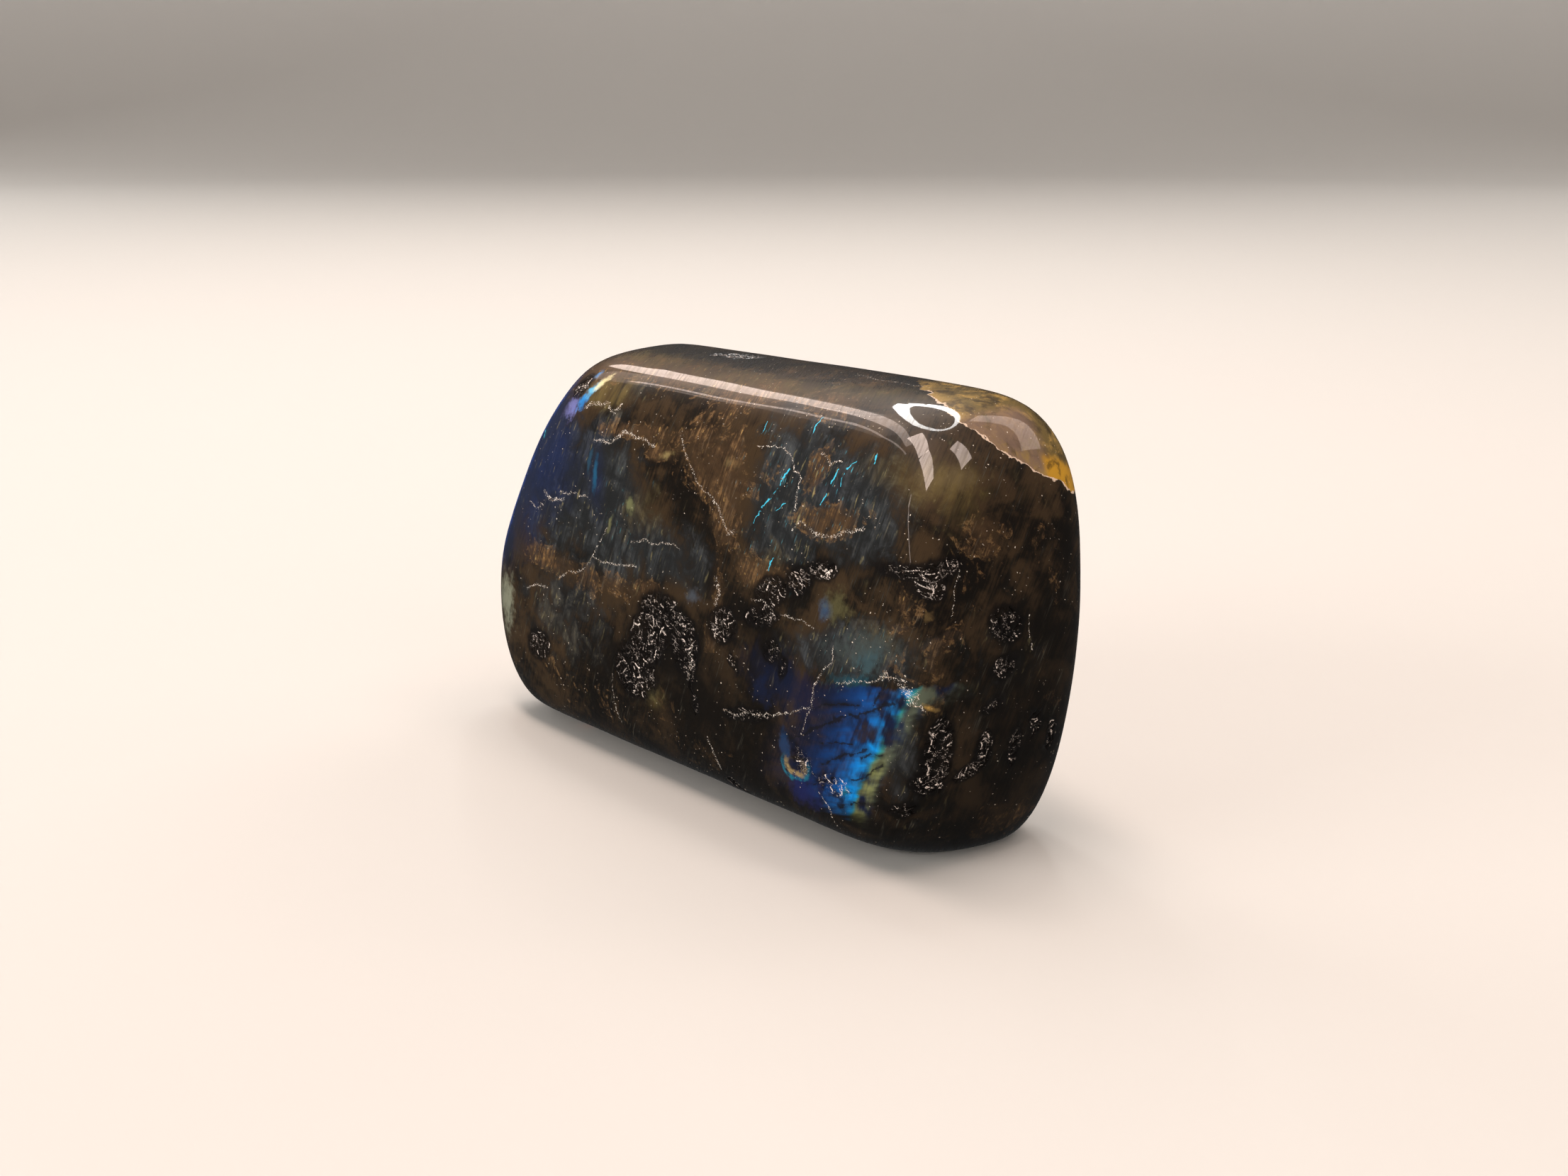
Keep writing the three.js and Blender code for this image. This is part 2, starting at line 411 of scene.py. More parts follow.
# %% Sink the pits
PIT_LENGTHS = (0.55, 1.7)
PIT_HALF_WIDTHS = (0.13, 0.23)
PIT_DEPTHS = (0.12, 0.3)
PIT_LEAN_SPREAD = 60
PIT_BEND_SPREAD = 45
PIT_MARGIN = 3
FLAT_FLOOR = 0.5
WALL_TOP = 1.35
FLOOR_PALENESS = (0.15, 1)
PALENESS_POWER = 1.5
NEAR_PATCH = 1.4
chance = np.random.default_rng(5)


def groove_line(side, middle, length, lean):
    """Two straight runs that meet at the middle at a slight bend, on the surface."""
    bend = chance.uniform(-PIT_BEND_SPREAD, PIT_BEND_SPREAD)
    points = []
    for way, turn in ((-1, lean - bend / 2), (0, 0), (1, lean + bend / 2)):
        across, up = turned(way * length / 2, 0, turn)
        points.append(on_side(side, middle[0] + across, middle[1] + up)[0])
    return points


def distance_to_run(places, start, end):
    run = end - start
    along = np.clip((places - start) @ run / (run @ run), 0, 1)
    return np.linalg.norm(places - start - along[:, None] * run, axis=1)


def smooth_between(values, low, high):
    share = np.clip((values - low) / (high - low), 0, 1)
    return share * share * (3 - 2 * share)


def pit_middles(row):
    side, middle, size, lean, pits, bare = row
    for number in range(pits):
        spread = (number + chance.uniform(0, 1)) / pits
        distance = math.sqrt(bare ** 2 + (1 - bare ** 2) * spread) / 2
        turn = number * GOLDEN_ANGLE
        across, up = turned(math.cos(turn) * distance * size[0], math.sin(turn) * distance * size[1], lean)
        yield middle[0] + across, middle[1] + up


places = places_of(skin)
shares = pitted_shares(places)
near = np.flatnonzero(shares < NEAR_PATCH)
near_places = places[near]
outward = outward_at(near_places)
sunk = np.zeros(len(near))
depth_share = np.zeros(len(near))
paleness = np.zeros(len(near))
for row in PITTED:
    side, middle, size, lean, _, _ = row
    wider = (size[0] + PIT_MARGIN, size[1] + PIT_MARGIN)
    around = np.flatnonzero(oval_shares(near_places, side, middle, wider, lean) < 1)
    for pit_middle in pit_middles(row):
        length = chance.uniform(*PIT_LENGTHS)
        line = groove_line(side, pit_middle, length, lean + chance.normal(0, PIT_LEAN_SPREAD))
        half_width = chance.uniform(*PIT_HALF_WIDTHS)
        away = np.minimum(
            distance_to_run(near_places[around], line[0], line[1]),
            distance_to_run(near_places[around], line[1], line[2]),
        )
        share = 1 - smooth_between(away, FLAT_FLOOR * half_width, WALL_TOP * half_width)
        sunk[around] = np.maximum(sunk[around], share * chance.uniform(*PIT_DEPTHS))
        depth_share[around] = np.maximum(depth_share[around], share)
        pale = chance.uniform(*FLOOR_PALENESS) ** PALENESS_POWER
        paleness[around] = np.maximum(paleness[around], share * pale)
places[near] -= outward * sunk[:, None]
move_to(skin, places)
print("deepest pit in mm:", round(float(sunk.max()), 2))

# %% [markdown]
# ## Masks kept on the mesh
#
# The stone's large soft clouds of colour, and its clouds of painted shade, could be placed in the
# material, but dozens of ovals there would be slow and hard to read. A number kept at every vertex costs
# nothing when rendering. Each row below is a soft oval on a side. The material later gives these smooth
# masks their torn edges.

# %% List the clouds
# side, middle across and up, width and height, lean in degrees, strength
CLOUDS = {
    "brown": [
        ("front", (12, 62), (24, 14), -10, 0.75),
        ("front", (15, 53.5), (6, 9), 5, 1.0),
        ("front", (42.5, 57.6), (15, 5), 10, 1.0),
        ("front", (36.5, 65.5), (5, 8), -28, 0.8),
        ("front", (13.6, 39), (3, 11), -4, 0.95),
        ("front", (11.5, 32), (3.5, 6), 0, 0.8),
        ("front", (-15, 64.2), (20, 3), 4, 0.85),
        ("front", (-6, 61.5), (7, 2), 12, 0.9),
        ("front", (-40, 36), (26, 5), 0, 0.65),
        ("front", (-18, 34.5), (26, 5), 0, 0.6),
        ("front", (-6, 37), (8, 3), 8, 0.9),
        ("front", (30, 46.8), (16, 4), 5, 0.7),
        ("front", (22, 45.5), (7, 5), 20, 0.6),
        ("front", (-46, 17), (15, 8), 0, 0.35),
        ("front", (-25, 10), (34, 10), 0, 0.3),
        ("front", (10, 8), (14, 8), 0, 0.4),
        ("front", (-2, 13), (10, 9), 0, 0.4),
        ("front", (61, 47), (6, 16), 0, 0.35),
        ("right", (-18.5, 34), (5, 15), 0, 0.5),
        ("right", (-8, 58), (10, 8), 20, 0.6),
        ("right", (6, 50), (12, 20), 10, 0.25),
        ("right", (2, 6), (20, 8), 0, 0.5),
        ("top", (-10, -6), (50, 9), 3, 0.5),
        ("top", (20, 2), (26, 7), -5, 0.3),
        ("back", (10, 55), (30, 14), 15, 0.8),
        ("back", (-34, 22), (24, 12), -20, 0.7),
        ("back", (40, 16), (18, 9), 10, 0.6),
        ("left", (2, 46), (16, 10), 12, 0.6),
        ("top", (-36, -10), (22, 8), 5, 0.9),
        ("top", (-12, -9), (14, 7), 0, 0.8),
        ("top", (9, -10), (18, 6), 0, 0.9),
        ("top", (30, -9), (12, 6), 0, 0.8),
        ("top", (22, 4), (44, 14), 0, 0.25),
        ("top", (-34, 2), (30, 12), 0, 0.25),
        ("right", (-14, 47), (9, 12), 0, 0.3),
        ("right", (10, 30), (14, 12), 0, 0.3),
    ],
    "grey": [
        ("front", (-38, 52), (28, 22), 0, 0.95),
        ("front", (-20, 50), (20, 22), 0, 0.85),
        ("front", (38, 62.5), (28, 14), -15, 0.95),
        ("front", (29, 55), (14, 14), 0, 0.9),
        ("front", (0, 44), (24, 11), 0, 0.7),
        ("front", (52, 61), (12, 14), 20, 0.5),
        ("front", (-34, 26), (28, 18), 0, 0.5),
        ("front", (60.5, 24), (5, 24), -10, 0.6),
        ("back", (-10, 40), (50, 30), 20, 0.6),
        ("left", (0, 30), (30, 30), 0, 0.5),
        ("top", (-19, -11), (9, 6), 30, 0.9),
        ("top", (22, -11), (8, 6), 20, 0.6),
        ("right", (-4, 36), (14, 12), 0, 0.3),
        ("front", (52, 38), (17, 8), 14, 0.8),
        ("front", (42, 36.5), (26, 7), 12, 0.6),
    ],
    "blue": [
        ("front", (-42, 56), (24, 22), 0, 0.7),
        ("front", (-49, 44), (12, 22), 0, 0.4),
        ("front", (-24, 54), (5, 14), 4, 0.5),
        ("front", (31, 28), (24, 12), -12, 0.45),
        ("front", (39, 63), (18, 10), 0, 0.25),
        ("left", (0, 48), (30, 30), 0, 0.4),
        ("back", (2, 46), (30, 16), 0, 0.4),
    ],
    "cyan": [
        ("front", (28, 60), (11, 15), 20, 0.8),
        ("front", (42, 63.5), (9, 11), 20, 0.9),
        ("front", (27, 48.5), (8, 9), 20, 0.7),
        ("front", (20, 60), (8, 15), 10, 0.45),
        ("front", (-15, 50), (14, 12), 20, 0.4),
        ("front", (51, 36), (14, 8), 14, 0.6),
        ("back", (-2, 38), (26, 16), 25, 0.7),
    ],
    "back_flash": [
        ("back", (-16, 40), (34, 20), 24, 1.0),
        ("back", (18, 30), (20, 12), 10, 0.8),
        ("left", (4, 44), (16, 22), 0, 0.6),
    ],
    "olive": [
        ("front", (-9, 51), (16, 10), 20, 0.5),
        ("front", (-34, 25), (26, 17), 0, 0.3),
        ("front", (-28, 69), (14, 5), 4, 0.9),
        ("front", (-6, 16.5), (6, 5), 0, 0.9),
        ("front", (56, 41), (12, 5), -5, 0.5),
        ("front", (29, 48), (10, 8), 60, 0.5),
        ("right", (-12, 66), (12, 7), 0, 0.7),
        ("right", (2, 63), (18, 5), 8, 0.2),
        ("top", (0, -8), (60, 8), 2, 0.7),
        ("top", (36, -2), (20, 8), 0, 0.5),
        ("top", (-30, -4), (20, 10), 0, 0.8),
        ("top", (-20, 4), (56, 16), 0, 0.35),
        ("right", (-13, 60), (10, 8), 0, 0.3),
        ("back", (30, 50), (30, 16), -15, 0.5),
    ],
    # painted shade, not dark stone: it darkens the front, right end and back low down, and the brightly lit
    # top
    "painted_shade": [
        ("front", (6, 20), (60, 30), -6, 0.75),
        ("front", (20, 39), (40, 10), -10, 0.5),
        ("front", (5, 3), (110, 9), 0, 0.6),
        ("right", (0, 16), (46, 40), 0, 0.65),
        ("right", (8, 40), (26, 30), 0, 0.45),
        ("back", (0, 14), (90, 24), 8, 0.6),
        ("top", (-12, 4), (96, 15), 0, 0.8),
    ],
}
CLOUD_DEPTH = 16
CLOUD_FALL = 0.7


def cloud_at(places, rows):
    clear = np.ones(len(places))
    for side, middle, size, lean, strength in rows:
        share = oval_shares(places, side, middle, size, lean, CLOUD_DEPTH)
        clear *= 1 - strength * np.exp(-CLOUD_FALL * share ** 2)
    return 1 - clear


masks = {name: cloud_at(places, rows) for name, rows in CLOUDS.items()}
print({name: round(float(mask.mean()), 3) for name, mask in masks.items()})

# %% [markdown]
# ## The turn at the left end
#
# A thin sheet of blue lights up where the front rounds into the left end. It is a painted sheen: its
# colour is set by how squarely the surface faces the camera, so that is kept on the mesh too: the share by
# which each point faces the way towards the camera. On the flat front it is about 0.6, and it falls to
# nothing round the end.

# %% Measure how the surface faces
TOWARDS_CAMERA = looking_out(-39, 14.5)

masks["facing"] = outward_at(places) @ TOWARDS_CAMERA
print("facing on the front:", round(float(outward_at(on_side("front", 0, 38))[0] @ TOWARDS_CAMERA), 2))

# %% [markdown]
# ## From bmesh to a finished piece
#
# The mesh leaves the workshop in metres. Its object stays at the origin, so that patterns on Object
# coordinates hold still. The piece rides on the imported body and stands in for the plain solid.

# %% Make the piece
PITTED_THROUGHOUT = 0.72
PITTED_NOWHERE = 1.3

masks["pit"] = np.zeros(len(places))
masks["pit"][near] = depth_share
masks["pit_pale"] = np.zeros(len(places))
masks["pit_pale"][near] = paleness
masks["pitted"] = 1 - smooth_between(shares, PITTED_THROUGHOUT, PITTED_NOWHERE)

bmesh.ops.scale(skin, vec=(MM, MM, MM), verts=skin.verts[:])
stone_mesh = bpy.data.meshes.new("labradorite_stone")
skin.to_mesh(stone_mesh)
skin.free()
for name, mask in masks.items():
    attribute = stone_mesh.attributes.new(name, "FLOAT", "POINT")
    attribute.data.foreach_set("value", mask.astype(np.float32))
piece = bpy.data.objects.new("labradorite_stone", stone_mesh)
bpy.context.scene.collection.objects.link(piece)
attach(piece, "root")
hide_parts("polished_stone")
stone_mesh.calc_loop_triangles()
print("piece:", len(stone_mesh.vertices), "vertices,", len(stone_mesh.loop_triangles), "triangles")

# %% [markdown]
# ## Building a material in words
#
# A node tree can be wired by hand in the editor. A stone like this needs hundreds of nodes, so a few
# small helpers make each step one readable line. Each helper adds a node or a few and hands back its
# result.

# %% Helpers for the nodes
polish = bpy.data.materials.new("polished_labradorite")
polish.use_nodes = True
tree = polish.node_tree
skin_shader = tree.nodes["Principled BSDF"]
# a Mix node's sockets for colours, by number, because several of them share a name
MIX_SHARE = 0
MIX_UNDER = 6
MIX_OVER = 7
MIX_RESULT = 2


def feed(socket, value):
    if isinstance(value, bpy.types.NodeSocket):
        tree.links.new(value, socket)
    else:
        socket.default_value = value


def maths(operation, *values):
    node = tree.nodes.new("ShaderNodeMath")
    node.operation = operation
    for socket, value in zip(node.inputs, values):
        feed(socket, value)
    return node.outputs[0]


def arrows(operation, *values):
    """A Vector Math node. Its result is a number where the operation measures something."""
    node = tree.nodes.new("ShaderNodeVectorMath")
    node.operation = operation
    for socket, value in zip(node.inputs, values):
        feed(socket, value)
    measures = operation in ("DOT_PRODUCT", "LENGTH", "DISTANCE")
    return node.outputs["Value" if measures else "Vector"]


def scaled(arrow, size):
    node = tree.nodes.new("ShaderNodeVectorMath")
    node.operation = "SCALE"
    feed(node.inputs["Vector"], arrow)
    feed(node.inputs["Scale"], size)
    return node.outputs["Vector"]


def three(first, second, third):
    node = tree.nodes.new("ShaderNodeCombineXYZ")
    for socket, value in zip(node.inputs, (first, second, third)):
        feed(socket, value)
    return node.outputs["Vector"]


def step_up(value, low, high):
    """0 at low, 1 at high, and smooth between. With low above high it steps down instead."""
    node = tree.nodes.new("ShaderNodeMapRange")
    node.interpolation_type = "SMOOTHSTEP"
    node.clamp = False
    feed(node.inputs["Value"], value)
    feed(node.inputs["From Min"], low)
    feed(node.inputs["From Max"], high)
    return node.outputs["Result"]


def mottle(where, size, detail=3.0, roughness=0.5, distortion=0.0, output="Fac"):
    node = tree.nodes.new("ShaderNodeTexNoise")
    feed(node.inputs["Vector"], where)
    node.inputs["Scale"].default_value = 1 / size
    node.inputs["Detail"].default_value = detail
    node.inputs["Roughness"].default_value = roughness
    node.inputs["Distortion"].default_value = distortion
    return node.outputs[output]


def painted(under, paint, share):
    node = tree.nodes.new("ShaderNodeMix")
    node.data_type = "RGBA"
    feed(node.inputs[MIX_SHARE], share)
    feed(node.inputs[MIX_UNDER], under if isinstance(under, bpy.types.NodeSocket) else (*under, 1))
    feed(node.inputs[MIX_OVER], paint if isinstance(paint, bpy.types.NodeSocket) else (*paint, 1))
    return node.outputs[MIX_RESULT]


def colour_run(value, first, last, stops):
    """A colour ramp from first to last. stops are pairs of a value between them and a colour."""
    node = tree.nodes.new("ShaderNodeValToRGB")
    feed(node.inputs[0], maths("DIVIDE", maths("SUBTRACT", value, first), last - first))
    stops = sorted(((stop - first) / (last - first), colour) for stop, colour in stops)
    elements = node.color_ramp.elements
    while len(elements) < len(stops):
        elements.new(0.5)
    for element, (place, colour) in zip(elements, stops):
        element.position = place
        element.color = (*colour, 1)
    return node.outputs["Color"]


def kept(name):
    node = tree.nodes.new("ShaderNodeAttribute")
    node.attribute_name = name
    return node.outputs["Fac"]


def held(value):
    """A value held between 0 and 1."""
    return maths("MINIMUM", maths("MAXIMUM", value, 0), 1)


def plus(first, second):
    return maths("ADD", first, second)


def swing(noise, amount):
    """Noise made to swing evenly either side of nothing."""
    return maths("MULTIPLY_ADD", noise, amount, -amount / 2)


def times(*values):
    product = values[0]
    for value in values[1:]:
        product = maths("MULTIPLY", product, value)
    return product


print("helpers ready for", polish.name)

# %% [markdown]
# ## Measuring in the stone
#
# Object coordinates in metres become millimetres. The stone's feldspar is layered, and the layers cut
# the front in lines that rise to the right and the end in lines that do the same. Noise squeezed
# across those layers and drawn out along them gives the fine silky streaks. A second set of
# coordinates is shaken by noise, which makes any edge measured in them ragged, as a break in rock is.

# %% Coordinates
FRONT_STREAK_LIFT = math.radians(66)
END_STREAK_LIFT = math.radians(62)
SHAKE = 1.6
FINE_SHAKE = 0.42

coordinates = tree.nodes.new("ShaderNodeTexCoord")
place = scaled(coordinates.outputs["Object"], 1 / MM)
apart = tree.nodes.new("ShaderNodeSeparateXYZ")
feed(apart.inputs[0], place)
along_x, along_y, along_z = apart.outputs

front_streak = Vector((math.cos(FRONT_STREAK_LIFT), 0, math.sin(FRONT_STREAK_LIFT)))
end_streak = Vector((0, math.cos(END_STREAK_LIFT), math.sin(END_STREAK_LIFT)))
across_layers = front_streak.cross(end_streak).normalized()
third_way = across_layers.cross(front_streak)


def layered(thickness, length):
    """Coordinates in which one unit is a layer's thickness across the layers and its length along them."""
    return three(
        arrows("DOT_PRODUCT", place, across_layers / thickness),
        arrows("DOT_PRODUCT", place, front_streak / length),
        arrows("DOT_PRODUCT", place, third_way / length),
    )


def shaken(size, amount, detail):
    noise = mottle(place, size, detail=detail, roughness=0.65, output="Color")
    shake = arrows("SUBTRACT", noise, (0.5, 0.5, 0.5))
    return scaled(shake, amount * 2)


ragged = arrows("ADD", arrows("ADD", place, shaken(7, SHAKE, 3)), shaken(1.2, FINE_SHAKE, 4))
ragged_apart = tree.nodes.new("ShaderNodeSeparateXYZ")
feed(ragged_apart.inputs[0], ragged)
ragged_x, _, ragged_z = ragged_apart.outputs

# the marks on a side lie at least this far out along its own way, in mm
MARKS_FROM = {"front": 9, "right": 53, "back": 9, "left": 52, "top": 68}


def flattened(side):
    """Ragged places as seen square on to a side. The third number grows out of that side's reach."""
    outward, across_way, up_way = (Vector(direction) for direction in SIDES[side])
    behind = maths("SUBTRACT", MARKS_FROM[side], arrows("DOT_PRODUCT", place, outward))
    across = arrows("DOT_PRODUCT", ragged, across_way)
    up = arrows("DOT_PRODUCT", ragged, up_way)
    return three(across, up, maths("MAXIMUM", behind, 0))


on_front = flattened("front")
on_right = flattened("right")
on_back = flattened("back")
on_left = flattened("left")
on_top = flattened("top")
print("layers look along", [round(number, 2) for number in across_layers])

# %% [markdown]
# ## The body of the stone
#
# Dark feldspar is never one colour: charcoal, brown and olive drift into each other. The masks kept on
# the mesh say roughly where, and noise tears their edges. A mask and a noise are added and a smooth
# step is taken of the sum, so the mask's edge breaks up into islands, as the real clouds do.

# %% Colours of the body
NEAR_BLACK = (0.007, 0.0055, 0.0042)
DARK_BROWN = (0.04, 0.025, 0.0125)
CHARCOAL = (0.015, 0.0168, 0.018)
SLATE = (0.054, 0.06, 0.064)
BROWN = (0.06, 0.035, 0.0175)
GOLD_BROWN = (0.18, 0.103, 0.043)
OLIVE = (0.105, 0.076, 0.026)
GOLD = (0.52, 0.33, 0.11)
DUSK_BLUE = (0.009, 0.018, 0.065)


def torn(mask, noise, softness=0.25, amount=0.9, threshold=0.5):
    """A smooth mask with its edge torn by noise."""
    return step_up(plus(mask, swing(noise, amount)), threshold - softness, threshold + softness)


big_mottle = mottle(place, 16, detail=4, roughness=0.6, distortion=0.6)
mid_mottle = mottle(place, 5, detail=6, roughness=0.66, distortion=0.6)
fine_mottle = mottle(place, 1.3, detail=4, roughness=0.65)
glints = mottle(place, 0.22, detail=1)
broad_streaks = mottle(layered(1.6, 14), 1, detail=4, roughness=0.6, distortion=0.2)
fine_streaks = mottle(layered(0.32, 6), 1, detail=3, roughness=0.55)

all_mottles = plus(times(big_mottle, 0.45), plus(times(mid_mottle, 0.35), times(fine_streaks, 0.2)))
body = painted(DARK_BROWN, NEAR_BLACK, step_up(all_mottles, 0.43, 0.55))
grey_share = torn(kept("grey"), mid_mottle, softness=0.25, amount=1.1, threshold=0.42)
slate_share = times(
    step_up(mid_mottle, 0.4, 0.66), step_up(broad_streaks, 0.35, 0.6), step_up(fine_streaks, 0.25, 0.6),
)
grey_colour = painted(CHARCOAL, SLATE, slate_share)
body = painted(body, grey_colour, grey_share)
body = painted(body, DUSK_BLUE, times(torn(kept("blue"), mid_mottle, softness=0.35, amount=0.8), 0.85))
olive_share = times(
    torn(kept("olive"), mid_mottle, softness=0.3, amount=1.4), step_up(broad_streaks, 0.25, 0.65),
)
body = painted(body, OLIVE, olive_share)
print("body: near black and dark brown under grey, blue and olive clouds")

# %% [markdown]
# The brown clouds are old iron staining along breaks in the stone. They are dark in the middle, mottled
# with gold-brown, and brightest in a thin broken rim. The rim costs little: it is where the torn mask
# passes through its threshold.

# %% Stain the stone brown
brown_total = plus(kept("brown"), swing(mid_mottle, 1.5))
brown_share = step_up(brown_total, 0.32, 0.74)
grain = plus(times(fine_mottle, 0.45), times(fine_streaks, 0.55))
warm_share = times(step_up(grain, 0.47, 0.64), step_up(mid_mottle, 0.42, 0.66))
brown_colour = painted(BROWN, GOLD_BROWN, warm_share)
body = painted(body, brown_colour, times(brown_share, step_up(grain, 0.3, 0.56)))
rim_share = times(
    step_up(brown_total, 0.36, 0.43), step_up(brown_total, 0.5, 0.43), step_up(fine_mottle, 0.46, 0.62),
)
body = painted(body, GOLD_BROWN, times(rim_share, 0.7))
fleck_share = times(
    step_up(mottle(layered(0.5, 1.6), 1, detail=3), 0.62, 0.72), step_up(brown_total, 0.3, 0.6),
    step_up(mid_mottle, 0.46, 0.62),
)
body = painted(body, GOLD, times(fleck_share, 0.5))
# painted shade: the shade clouds, torn by noise, turn the body towards near black
body = painted(body, NEAR_BLACK, times(torn(kept("painted_shade"), big_mottle, softness=0.35, amount=0.9), 0.8))
print("brown stain with a gold-brown rim, and black clouds over all")

# %% [markdown]
# ## Silky streaks
#
# The layers catch the light as hair-fine lines. They lighten and darken the body a little, more in
# some patches than in others, so the stone looks deep rather than painted.

# %% Streak the body
STREAK_LIGHTER = (0.2, 0.185, 0.14)
STREAK_CYAN = (0.08, 0.45, 0.56)
WISP_GOLD = (0.3, 0.26, 0.12)

streak_patches = step_up(mottle(place, 11, detail=2), 0.4, 0.66)
lighter_streaks = times(
    step_up(fine_streaks, 0.55, 0.8), streak_patches, step_up(broad_streaks, 0.4, 0.65),
)
body = painted(body, STREAK_LIGHTER, times(lighter_streaks, 0.5))
darker_streaks = times(step_up(fine_streaks, 0.44, 0.28), step_up(broad_streaks, 0.6, 0.4))
body = painted(body, NEAR_BLACK, times(darker_streaks, 0.6))
wisps = step_up(mottle(layered(0.5, 3.2), 1, detail=3, distortion=0.4), 0.6, 0.74)
wisp_places = times(maths("MAXIMUM", kept("olive"), kept("grey")), step_up(mid_mottle, 0.44, 0.58))
body = painted(body, WISP_GOLD, times(wisps, wisp_places, 0.8))
hair_streaks = mottle(layered(0.22, 2.6), 1, detail=2)
hair_share = times(step_up(hair_streaks, 0.66, 0.74), kept("cyan"), step_up(mid_mottle, 0.4, 0.6))
body = painted(body, STREAK_CYAN, hair_share)
print("streaks rise at", round(math.degrees(FRONT_STREAK_LIFT)), "degrees on the front")

# %% [markdown]
# ## The blue fire
#
# Labradorite's flash comes from layers so thin that they act like an oil film, and each thickness
# sends back one colour. A film shader would change with the camera and be lost in the saved model, so
# the colours are laid in as a run: grey at the rim, gold in its lowest part, then sea green, azure,
# deep blue and navy. The run follows the distance from one slanting edge low on the right.

# %% The great flash
FLASH_EDGE_POINT = (56.2, 23.6)
FLASH_EDGE_LEAN = math.radians(58.8)
FLASH_FROM = -5
FLASH_TO = 33
RIM_GREY = (0.08, 0.095, 0.066)
RIM_GOLD = (0.21, 0.23, 0.085)
SEA_GREEN = (0.025, 0.23, 0.22)
AZURE = (0.0, 0.27, 0.74)
SEA_BLUE = (0.002, 0.15, 0.5)
BLUE = (0.004, 0.072, 0.29)
DEEP_BLUE = (0.004, 0.03, 0.125)
INDIGO = (0.005, 0.013, 0.048)
NAVY = (0.006, 0.009, 0.032)


def left_of_line(flat_x, flat_z, point, lean):
    """How far left of a slanting line a place is."""
    right = maths("SUBTRACT", flat_x, point[0])
    up = maths("SUBTRACT", flat_z, point[1])
    return plus(times(right, -math.sin(lean)), times(up, math.cos(lean)))


on_the_front = step_up(along_y, -9, -15)
cross_noise = mottle(
    three(times(along_x, 0.16), maths("MULTIPLY_ADD", along_x, -0.28, along_z), along_y), 1.1, detail=3
)
left_of_edge = left_of_line(along_x, along_z, FLASH_EDGE_POINT, FLASH_EDGE_LEAN)
left_of_edge = plus(left_of_edge, swing(cross_noise, 1.8))
flash_run = colour_run(left_of_edge, FLASH_FROM, FLASH_TO, [
    (-4.4, NEAR_BLACK),
    (-2.6, RIM_GREY),
    (-1.4, RIM_GREY),
    (-0.5, SEA_GREEN),
    (0.5, AZURE),
    (2.8, SEA_BLUE),
    (5.4, BLUE),
    (9.0, DEEP_BLUE),
    (13, INDIGO),
    (22, NAVY),
])
print("flash runs over", FLASH_TO - FLASH_FROM, "mm")

# %% Lay the flash in
FLASH_TOP_POINT = (50, 31.8)
FLASH_TOP_LEAN = math.radians(10)

gold_low = times(
    step_up(along_z, 23, 18), step_up(left_of_edge, -3.4, -1.8), step_up(left_of_edge, 0.0, -0.9),
)
flash_run = painted(flash_run, RIM_GOLD, gold_low)
over_top = left_of_line(ragged_x, ragged_z, FLASH_TOP_POINT, FLASH_TOP_LEAN)
under_top = step_up(over_top, 0.5, -0.3)
above_foot = step_up(plus(along_z, times(cross_noise, 4)), 8.5, 15)
flash_sides = times(step_up(left_of_edge, -4.6, -2.0), step_up(left_of_edge, 24, 8))
flash_patches = plus(mottle(place, 5.0, detail=2, roughness=0.5), times(broad_streaks, 0.6))
glow = step_up(flash_patches, 0.62, 0.9)
smoke = step_up(plus(cross_noise, times(mid_mottle, 0.6)), 0.62, 0.92)
flash_share = times(
    flash_sides, under_top, above_foot, on_the_front, maths("MULTIPLY_ADD", smoke, 0.45, 0.55),
)
flash_dim = painted(INDIGO, flash_run, glow)
colour = painted(body, flash_dim, times(flash_share, step_up(flash_patches, 0.3, 0.74)))
print("flash laid in")

# %% [markdown]
# ## Cracks and strokes
#
# Healed cracks show as thin pale lines, some of them inside the stone. Each is a broken line of a few
# points on a side. The distance to the nearest run of that line, measured in the shaken coordinates,
# gives a mark whose edge wanders. Short bright strokes of cyan, where single layers catch the light,
# are made in the same way.

# %% [markdown]
# All strokes need the same seven nodes for each straight run, more than a hundred times. A node group
# holds them once. It is given the place, where the run starts, the run, and the run divided by its
# squared length.

# %% A node group for one straight run
run_group = bpy.data.node_groups.new("distance_to_run", "ShaderNodeTree")
for input_name in ("Place", "Start", "Run", "Run over its squared length"):
    run_group.interface.new_socket(input_name, in_out="INPUT", socket_type="NodeSocketVector")
run_group.interface.new_socket("Distance", in_out="OUTPUT", socket_type="NodeSocketFloat")

tree = run_group
given = tree.nodes.new("NodeGroupInput").outputs
away = arrows("SUBTRACT", given["Place"], given["Start"])
along = held(arrows("DOT_PRODUCT", away, given["Run over its squared length"]))
distance = arrows("LENGTH", arrows("SUBTRACT", away, scaled(given["Run"], along)))
feed(tree.nodes.new("NodeGroupOutput").inputs["Distance"], distance)
tree = polish.node_tree
print("nodes in the group, with its two ends:", len(run_group.nodes))

# %% Helpers for strokes


def run_distance(flat, start, end):
    start, end = Vector((*start, 0)), Vector((*end, 0))
    run = end - start
    node = tree.nodes.new("ShaderNodeGroup")
    node.node_tree = run_group
    for socket, value in zip(node.inputs, (flat, start, run, run / run.length_squared)):
        feed(socket, value)
    return node.outputs["Distance"]


def stroke_distance(flat, points):
    nearest = None
    for start, end in zip(points[:-1], points[1:]):
        distance = run_distance(flat, start, end)
        nearest = distance if nearest is None else maths("MINIMUM", nearest, distance)
    return nearest


def nearest_stroke(rows):
    """The distance from the nearest stroke, counted in that stroke's own half widths."""
    nearest = None
    for flat, points, half_width in rows:
        distance = maths("DIVIDE", stroke_distance(flat, points), half_width)
        nearest = distance if nearest is None else maths("MINIMUM", nearest, distance)
    return nearest


